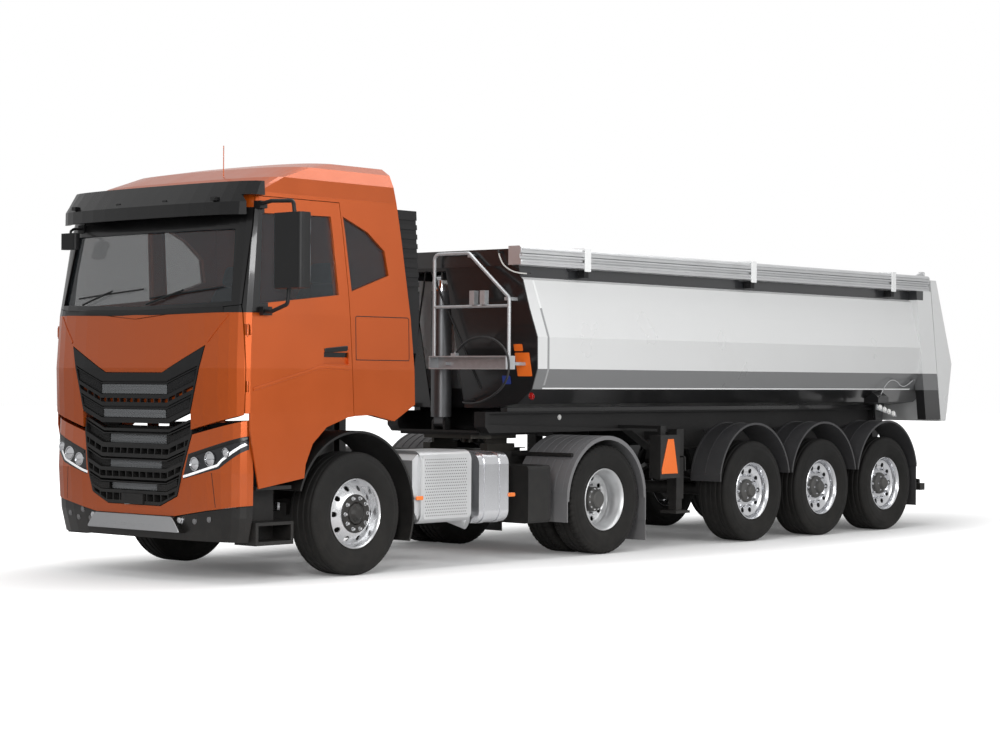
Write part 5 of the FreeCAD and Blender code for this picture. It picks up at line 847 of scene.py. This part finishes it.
def strip(node_name, path, width, lift, count=24, axis=0, sign=1):
    """A strip laid on a panel along (y, z) on the front or (x, z) on a side: five points wide, lifted."""
    line = between(path, count)
    way = np.gradient(line, axis=0)
    way /= np.linalg.norm(way, axis=1, keepdims=True)
    beside = np.stack([-way[:, 1], way[:, 0]], -1)
    flat = line[:, None] + beside[:, None] * (STRIP_SHARES * width)[None, :, None]
    grid = np.insert(flat, axis, PROBE_START[axis] * sign, axis=-1)
    found = laid(grid, node_name, axis, sign).reshape(count, 5, 3)
    found[..., axis] += sign * np.array([-STRIP_SINK, lift, lift * 1.25, lift, -STRIP_SINK])
    back = found[:, ::-1].copy()
    back[..., axis] = sign * ((found[..., axis] * sign).min(axis=1, keepdims=True) - STRIP_SINK)
    return np.concatenate([found, back], 1), grid_faces(count, 10, True) + end_caps(count, 10)


print("laying tools ready")

# %% Grille meshes: a light diamond mesh in the middle, a dark one at the sides
GRILLE_SLOPE, GRILLE_FLAT, MESH_STEP = 0.36, 0.42, 0.006
WIRE_RISE, MESH_BACK, LIP_DEPTH, MESH_GAP = 0.006, 0.004, 0.028, 0.008


def mesh_field(node_name, top, bottom, y_from, y_to, pitch=0.036, lip=None):
    """A sheet whose relief is two sets of slanting wires, where u/p + v/q and u/p - v/q are whole and a half.

    It lies on the sunk panel, or set back from the lip above where the field is open.
    """
    columns, rows = int(abs(y_to - y_from) / MESH_STEP) + 2, int((top - bottom) / MESH_STEP) + 2
    y, v = np.meshgrid(np.linspace(y_from, y_to, columns), np.linspace(bottom, top, rows))
    rise = GRILLE_SLOPE * np.clip(np.abs(y) - GRILLE_FLAT, 0, None)
    if lip is None:
        ahead_points = front_points(np.stack([y, v + rise], -1))
        sheet = laid(ahead_points, node_name, offset=0.003).reshape(rows, columns, 3)
    else:
        edge = front_points(np.stack([y[0], lip + rise[0]], -1))
        depth = laid(edge, node_name, offset=-LIP_DEPTH)[:, 0]
        sheet = np.stack([np.broadcast_to(depth, y.shape), y, v + rise], -1)
    first, second = y / pitch + v / (pitch * 0.55), y / pitch - v / (pitch * 0.55)
    wire = np.maximum(*[bump_at(np.mod(phase, 1), 0.5, 0.10, 0.12) for phase in (first, second)])
    out = np.array([1.0, 0, 0])
    front, back = sheet + WIRE_RISE * wire[..., None] * out, sheet - MESH_BACK * out
    faces = grid_faces(rows, columns)
    return joined((front, faces), (back, [face[::-1] for face in faces]))


UPPER_FIELDS = [(1.612, 1.535, 0.42, 0.745, None), (1.404, 1.337, 0.40, 0.685, None)]
LOWER_FIELDS = [(1.194, 1.122, 0.36, 0.655, 1.222), (0.977, 0.917, 0.33, 0.605, 1.004),
                (0.785, 0.733, 0.30, 0.555, None)]
for node_name, body, fields in (("upper_grille", "cab", UPPER_FIELDS),
                                ("lower_grille", "tractor", LOWER_FIELDS)):
    middle = [mesh_field(node_name, top, bottom, -half, half, lip=lip)
              for top, bottom, half, outer, lip in fields]
    piece(node_name + "_centre_mesh", body, joined(*middle), mesh_grey, "trim_black", sharp=60, merge=1e-7)
    sides = [mesh_field(node_name, top, bottom, way * (half + MESH_GAP), way * outer, 0.030, lip)
             for top, bottom, half, outer, lip in fields for way in (1, -1)]
    piece(node_name + "_side_mesh", body, joined(*sides), black_plastic, "trim_black", sharp=60, merge=1e-7)
FIN_COUNT, CORE_HALF, CORE_X, CORE_BACK_X, FIN_DEPTH = 113, 0.56, 5.372, 5.33, 0.008
fin_x = CORE_X + FIN_DEPTH * (np.arange(FIN_COUNT) % 2)
fins = np.stack([fin_x, np.linspace(-CORE_HALF, CORE_HALF, FIN_COUNT)], -1)
outline = np.concatenate([fins, [[CORE_BACK_X, CORE_HALF], [CORE_BACK_X, -CORE_HALF]]])
core = np.stack([np.insert(outline, 2, z, axis=1) for z in (0.66, 1.262)])
piece("radiator_core", "tractor", (core, grid_faces(2, len(outline), True) + end_caps(2, len(outline))),
      black_frame, "chassis_black", sharp=20)
backing = [plate_x(oblong(y0, y0 + 0.575, 0.96, 1.300, 0.02), 5.300, 0.02) for y0 in (-1.15, 0.575)]
piece("bumper_backing", "tractor", joined(*backing), black_frame, "chassis_black")
print("grilles and radiator", 6)

# %% Headlamps: LED line, lens cluster, surround
LED_LINE = [(0.622, 0.862), (0.70, 0.880), (0.985, 0.962), (1.02, 1.000), (1.20, 1.138)]
LAMP_BROW = [(0.68, 1.030), (0.99, 1.118), (1.21, 1.180)]
LENSES = [(0.745, 0.968, 0.046), (0.905, 1.012, 0.050), (1.055, 1.065, 0.034)]
LENS_STEPS = [(1.22, -0.004), (1.22, 0.008), (1.08, 0.011), (1.0, 0.004), (0.8, 0.012), (0.45, 0.019),
              (0.02, 0.022)]


def lens(y, z, radius):
    """Rings of (share of the radius, height) about a centre laid on the lamp."""
    centre = laid(front_points([(y, z)]), "headlamps")
    rings = [np.insert(circle(radius * share, 28), 0, rise, axis=1) for share, rise in LENS_STEPS]
    return centre + np.stack(rings), grid_faces(len(rings), 28, True) + end_caps(len(rings), 28)


for side, sign in SIDES:
    led = strip("headlamps", np.array(LED_LINE) * [sign, 1], 0.022, 0.004, 40)
    piece("led_line_" + side, "tractor", led, led_white, "lamp_clear")
    brow = strip("headlamps", np.array(LAMP_BROW) * [sign, 1], 0.030, 0.004, 30)
    piece("lamp_brow_" + side, "tractor", brow, black_gloss, "trim_black")
    piece("lamp_lenses_" + side, "tractor", joined(*[lens(y * sign, z, radius) for y, z, radius in LENSES]),
          chrome, "lamp_clear", sharp=30)
print("headlamps", 2)

# %% Bumper: skid plate, sensors, tow rings, seams
SKID_DEPTH, SLOT_HALF = 0.010, 0.035
SENSORS = [(-0.93, 0.50), (-0.80, 0.47), (-0.72, 0.54), (-0.62, 0.47), (0.72, 0.50), (0.88, 0.52)]
skid_outline = rounded([(-0.50, 0.527), (0.50, 0.527), (0.60, 0.400), (-0.60, 0.400)], 0.03)
skid_x = laid(front_points([(0, 0.46)]), "bumper_skirt")[0, 0]
slots = [plate_x(oblong(y - SLOT_HALF, y + SLOT_HALF, 0.438, 0.452, 0.006), skid_x + SKID_DEPTH, 0.002,
                 0.0006) for y in np.arange(-0.36, 0.37, 0.12)]
piece("skid_plate", "tractor", joined(plate_x(skid_outline, skid_x, SKID_DEPTH, 0.003), *slots), skid_silver,
      "rail_silver")
sensors = hexagons(laid(front_points(SENSORS), "bumper_skirt"), (1, 0, 0), 0.020, 0.008, 16)
piece("bumper_sensors", "tractor", sensors, guard_grey, "guard_grey")
rings = laid(front_points([(-0.56, 0.500), (0.56, 0.500)]), "bumper_skirt", offset=-0.002)
piece("tow_ring_bolts", "tractor", hexagons(rings, (1, 0, 0), 0.026, 0.026), steel_bright, "rim_silver")
seams = [strip("front_bumper", [(sign * 0.96, 0.62), (sign * 0.93, 0.90)], 0.006, 0.001, 12)
         for sign in (1, -1)]
piece("bumper_seams", "tractor", joined(*seams), black_gloss, "trim_black")
print("bumper trim", 4)

# %% [markdown]
# ## Cab: trim, glass furniture and soft seats
# Seats and the bunk are crowned closed cushions. A cushion point is (a c(u) c(v), b c(u) s(v), h s(u)), where
# each cosine and sine is raised to a power below one, so the plan is squarish and the top stays crowned. Sewn
# channels pull the surface in along straight lines.

# %% Cushion surface
CHANNEL_PULL, CUSHION_ROWS, CUSHION_COLUMNS = 0.16, 28, 72
LEVEL_AXES = np.array([(1, 0, 0), (0, 1, 0), (0, 0, 1)])
LEAN_AXES = np.array([(-0.28, 0, 0.96), (0, 1, 0), (0.96, 0, 0.28)])


def raised(value, power):
    return np.sign(value) * np.abs(value) ** power


def cushion(centre, half, axes, channels=(), power=(0.55, 0.38)):
    """Crowned cushion: the surface above, with sewn channels across its width."""
    u = np.linspace(-math.pi / 2, math.pi / 2, CUSHION_ROWS)[:, None]
    v = np.linspace(0, FULL_TURN, CUSHION_COLUMNS, endpoint=False)[None, :]
    ring = raised(np.cos(u), power[0])
    a = half[0] * ring * raised(np.cos(v), power[1])
    b = half[1] * ring * raised(np.sin(v), power[1])
    pull = sum((bump_at(b, line, 0.002, 0.014) for line in channels), 0 * a)
    h = half[2] * raised(np.sin(u), power[0]) * (1 - CHANNEL_PULL * pull)
    points = np.asarray(centre) + np.stack([a, b, h], -1) @ axes
    return points, grid_faces(CUSHION_ROWS, CUSHION_COLUMNS, True)


def pad(name, shape):
    """A cushion in seat cloth."""
    piece(name, "cab", shape, cloth, "seat_cloth", sharp=80)


# %% Seats, bunk, dashboard and steering wheel
SEAT_Y = 0.56
for side, sign in SIDES:
    y = sign * SEAT_Y
    pad("seat_base_" + side, cushion((4.435, y, 1.835), (0.250, 0.245, 0.078), LEVEL_AXES, (-0.15, 0.15)))
    pad("seat_back_" + side, cushion((4.125, y, 2.180), (0.330, 0.235, 0.066), LEAN_AXES, (-0.14, 0.14)))
    pad("headrest_" + side, cushion((4.010, y, 2.590), (0.090, 0.140, 0.050), LEAN_AXES))
    foot = rounded([(4.22, 1.50), (4.62, 1.50), (4.58, 1.77), (4.26, 1.77)], 0.03)
    rods = [carried(circle(0.008), [(4.055, y + shift, 2.45), (4.030, y + shift, 2.54)])
            for shift in (-0.06, 0.06)]
    piece("seat_stand_" + side, "cab", joined(plate_y(foot, y - 0.17, 0.34, 0.012), *rods), cab_plastic,
          "trim_black")
pad("bunk_mattress", cushion((3.81, 0, 1.905), (0.155, 1.060, 0.075), LEVEL_AXES,
                             (-0.7, -0.35, 0.0, 0.35, 0.7), (0.4, 0.2)))
dash_outline = rounded([(5.04, 1.98), (5.08, 2.12), (5.20, 2.185), (5.47, 2.165), (5.46, 1.62), (5.36, 1.50),
                        (5.12, 1.54)], 0.05)
hood_outline = rounded([(5.02, 2.06), (5.05, 2.17), (5.16, 2.215), (5.20, 2.15), (5.10, 2.02)], 0.02)
wheel_across, wheel_along = axes_of((-0.78, 0, 0.62))[:2]
wheel_ring = circle(0.215, 64)
rim_path = np.array([4.85, SEAT_Y, 2.17]) + wheel_ring[:, :1] * wheel_across + wheel_ring[:, 1:] * wheel_along
spokes = [carried(circle(0.012, 10, 0.6), [rim_path[index], [4.862, SEAT_Y, 2.160]]) for index in (2, 24, 46)]
dash = joined(plate_y(dash_outline, -1.04, 2.08, 0.02), plate_y(hood_outline, 0.36, 0.40, 0.015),
              carried(circle(0.014, 12), rim_path, closed_path=True), *spokes,
              carried(circle(0.032, 16), [[4.850, SEAT_Y, 2.172], [5.080, SEAT_Y, 1.990]]),
              plate_y(oblong(3.66, 3.96, 1.50, 1.84, 0.02), -1.06, 2.12, 0.01))
dash_piece = piece("dashboard_and_bunk_base", "cab", dash, cab_plastic, "trim_black")
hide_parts("cab_interior")
print("cab inside", 10)

# %% Wipers, mirror glass, door pockets, creases and seams
WIPERS = [([(-0.75, 2.29), (-0.36, 2.40)], 0.009, 0.026), ([(-0.84, 2.345), (0.04, 2.41)], 0.007, 0.014),
          ([(0.12, 2.28), (0.55, 2.39)], 0.009, 0.026), ([(0.14, 2.33), (0.98, 2.41)], 0.007, 0.014)]
arms = [carried(circle(thick, 8), laid(front_points(between(path, 12)), "cab_glass", offset=lift))
        for path, thick, lift in WIPERS]
piece("wipers", "cab", joined(*arms), black_plastic, "trim_black")
for label, z0, z1 in (("main", 2.42, 2.76), ("wide", 2.79, 2.955)):
    glass = plate_x(oblong(1.555, 1.835, z0, z1, 0.03), 5.3765, 0.004, 0.001)
    piece("mirror_glass_" + label, "door_left", glass, mirror_face, "lamp_clear")
POCKET = rounded([(4.677, 1.933), (4.671, 1.785), (4.332, 1.800), (4.332, 1.977)], 0.035)
BAR = rounded([(4.640, 1.925), (4.636, 1.885), (4.372, 1.905), (4.372, 1.950)], 0.014)
DOOR_CREASE = [(5.44, 1.580), (4.67, 1.770), (4.345, 1.757)]
LOCKER = [(4.27, 1.83), (4.27, 2.20), (3.62, 2.20), (3.62, 1.83), (4.27, 1.83)]
for side, sign in SIDES:
    door = "door_" + side
    wall_up, wall_out = (0, 0.169 * sign, 1), (0, 0.986 * sign, -0.167)
    handle = [pushed(shape, (0, y * sign, 0), (1, 0, 0), wall_up, wall_out, depth, edge)
              for shape, y, depth, edge in ((POCKET, 0.9035, 0.006, 0.002), (BAR, 0.9100, 0.016, 0.004))]
    piece("door_handle_" + side, door, joined(*handle), black_gloss, "trim_black")
    crease = strip(door, DOOR_CREASE, 0.030, 0.004, 40, 1, sign)
    piece("door_crease_" + side, door, crease, pillar_paint, "cab_orange")
    locker = strip("cab_shell", LOCKER, 0.008, 0.001, 80, 1, sign)
    piece("locker_line_" + side, "cab", locker, black_gloss, "trim_black")
hood = [strip("front_panel", [(sign * 0.872, 1.965), (sign * 1.07, 2.185)], 0.026, 0.005, 16)
        for sign in (1, -1)]
piece("hood_creases", "cab", joined(*hood), pillar_paint, "cab_orange")
cowl = strip("front_panel", [(-1.02, 2.225), (0, 2.205), (1.02, 2.225)], 0.05, 0.004, 40)
piece("cowl_strip", "cab", cowl, black_gloss, "trim_black")
print("cab trim", 11)

# %% [markdown]
# ## Trailer body: rails, clamps, plates, painted highlights and painted shade
# The tipping body is a smooth shell, and its look comes from thin additions: ribs on the top rail, sheet
# clamps, white strips of painted highlight along its edges, grey strips of painted shade on its front edges,
# and blank plates on the leaning front wall.


# %% Rails, clamps, and edge strips of painted highlight and painted shade
def block(x, half, bottom, top, radius, sign, y_from, width, edge):
    """A rounded block on a side: (x, z) outline from y_from outwards by width, mirrored where sign is -1."""
    start = y_from if sign > 0 else -y_from - width
    return plate_y(oblong(x - half, x + half, bottom, top, radius), start, width, edge)


CLAMP_X = (1.18, -1.57, -4.34)
rail = [carried(circle(0.011, 10), [(-5.13, sign * 1.249, z), (2.14, sign * 1.249, z)]) for sign in (1, -1)
        for z in (2.765, 2.820, 2.875)]
piece("rail_ribs", "tipping_body", joined(*rail), alloy_plain, "rail_silver")
CLAMP_PARTS = [(2.70, 2.925, 0.012, 1.250, 0.014), (2.902, 2.926, 0.004, 1.085, 0.175)]
clamps = [block(x, 0.045, bottom, top, radius, sign, y, width, 0.003) for sign in (1, -1) for x in CLAMP_X
          for bottom, top, radius, y, width in CLAMP_PARTS]
piece("sheet_clamps", "tipping_body", joined(*clamps), body_white_and_highlight, "rail_silver")
brackets = [block(x, 0.03, 2.640, 2.715, 0.006, sign, 1.150, 0.095, 0.004)
            for sign in (1, -1) for x in CLAMP_X]
piece("clamp_brackets", "tipping_body", joined(*brackets), black_plastic, "trim_black")
# The white strips on the front edge and along the lower edge are painted highlights.
HIGHLIGHT_LINES = [([(1.875, 2.60), (1.800, 2.34)], 0.024, 12), ([(-4.95, 1.592), (1.66, 1.592)], 0.014, 60)]
strips = [strip("tipping_body", path, width, 0.003, count, 1, sign) for sign in (1, -1)
          for path, width, count in HIGHLIGHT_LINES]
piece("white_highlight_strips", "tipping_body", joined(*strips), body_white_and_highlight, "body_grey")
# The mid grey strips down the front edges, below the white ones, are painted shade.
shades = [strip("tipping_body", [(1.800, 2.34), (1.655, 1.62)], 0.028, 0.003, 24, 1, sign)
          for sign in (1, -1)]
piece("front_edge_shade_strips", "tipping_body", joined(*shades), body_painted_shade, "body_grey")


# %% The leaning front wall: blank plates, folds and corner lights
def wall_x(z, rise=0.0):
    """The wall's face: x = WALL_X + WALL_LEAN (z - WALL_Z)."""
    return WALL_X + WALL_LEAN * (z - WALL_Z) + rise


WALL_OUT = (0.978, 0, -0.209)


def wall_plate(y0, y1, z0, z1):
    """A thin blank plate that lies on the wall."""
    return pushed(oblong(y0, y1, z0, z1, 0.012), (wall_x(0, 0.003), 0, 0), (0, 1, 0), (WALL_LEAN, 0, 1),
                  WALL_OUT, 0.006, 0.001)


plates = joined(wall_plate(0.955, 1.132, 1.705, 1.925), wall_plate(0.955, 1.060, 1.94, 2.005))
piece("orange_wall_plates", "tipping_body", plates, signal_orange, "cab_orange")
piece("blue_wall_plate", "tipping_body", wall_plate(0.76, 0.86, 1.63, 1.71), signal_blue)
FOLD = ((0.035, 2.70), (0.47, 1.58))
folds = [carried(circle(0.010, 8), [(wall_x(z, 0.004), sign * y, z) for y, z in FOLD]) for sign in (1, -1)]
piece("front_wall_folds", "tipping_body", joined(*folds), charcoal, "body_grey")
corner_lights = hexagons([(1.800, 1.095, 1.52), (1.800, -1.095, 1.52)], WALL_OUT, 0.026, 0.020, 18)
piece("front_corner_lights", "tipping_body", corner_lights, red_lens, "lamp_clear")
print("trailer body trim", 9)

# %% Trailer frame: painted highlight lines on the guards, lamps, chock and rear rack
GUARD_Z = 0.591
# Each trailer guard's outer edge gets a thin lighter line: a painted highlight.
highlight_section = [(0.6415, 1.236), (0.6465, 1.236), (0.6465, 1.226), (0.6415, 1.226), (0.6415, 1.236)]
lines = [turned(np.array(highlight_section) * [1, sign], x, GUARD_Z, 48, 12, 156) for x in TRAILER_AXLES
         for sign in (1, -1)]
piece("guard_edge_highlights", "trailer", joined(*lines), guard_grey, "guard_grey")
chock_outline = np.array([(-0.31, 0.745), (-0.05, 0.745), (-0.05, 0.79), (-0.15, 1.09), (-0.24, 1.09)])
chock = plate_y(chock_outline, 1.105, 0.125, 0.006)
piece("wheel_chock", "trailer", chock, signal_orange, "cab_orange", sharp=20)
lamp_boxes = [plate_x(oblong(y0, y0 + 0.44, 0.42, 0.545, 0.02), -5.215, 0.035, 0.006) for y0 in (0.66, -1.10)]
piece("rear_lamp_boxes", "trailer", joined(*lamp_boxes), black_plastic, "trim_black")
red_dots = [(-5.2155, sign * y, 0.482) for sign in (1, -1) for y in (0.73, 0.88, 1.03)]
piece("rear_lamp_lenses", "trailer", hexagons(red_dots, (-1, 0, 0), 0.036, 0.010, 20), red_lens, "lamp_clear")
rack_outline = [(-4.18, 1.42), (-4.60, 1.31), (-4.60, 1.275), (-4.18, 1.36)]
rack = joined(*[plate_y(rack_outline, y, 0.014) for y in (1.13, -1.144)])
piece("lamp_rack_brackets", "trailer", rack, galvanised, "railing_galvanised")
rack_dots = [(-4.24 - 0.095 * k, 1.146, 1.385 - 0.024 * k) for k in range(4)]
rack_lenses = hexagons(rack_dots, (0, 1, 0), 0.024, 0.022, 18)
piece("lamp_rack_lenses", "trailer", rack_lenses, white_lens, "lamp_clear")
marker_place = laid([(0.77, PROBE_START[1], 1.307)], "trailer_frame", 1)
marker = hexagons(marker_place, (0, 1, 0), 0.020, 0.010, 18)
piece("chassis_marker", "trailer", marker, white_lens, "lamp_clear")
print("trailer frame trim", 7)

# %% Tractor side: shield with dark dots of painted shade for its holes, and amber markers
SHIELD_Y, HOLE_PITCH = 1.215, 0.026
shield_x, shield_z = np.meshgrid(np.arange(2.84, 3.38, HOLE_PITCH), np.arange(0.47, 0.98, HOLE_PITCH))
stagger = HOLE_PITCH / 2 * (np.arange(len(shield_x)) % 2)[:, None]
holes = np.stack([shield_x + stagger, np.full(shield_x.shape, SHIELD_Y + 0.0035), shield_z], -1)
shield = plate_y(oblong(2.80, 3.40, 0.44, 1.01, 0.03), SHIELD_Y, 0.004, 0.0015)
piece("heat_shield", "tractor", shield, alloy_plain, "tank_aluminium")
# The holes are black dots on the plate: painted shade, seen as if through them.
shield_hole_shade = hexagons(holes, (0, 1, 0), 0.0055, 0.0012)
piece("heat_shield_hole_shade", "tractor", shield_hole_shade, black_frame, "chassis_black")
markers = [block(x, 0.045, z - 0.018, z + 0.018, 0.012, 1, 1.213, 0.012, 0.003)
           for x, z in ((3.449, 0.631), (2.22, 0.62))]
piece("amber_side_markers", "tractor", joined(*markers), amber_lens, "lamp_clear")
print("tractor side trim", 3)
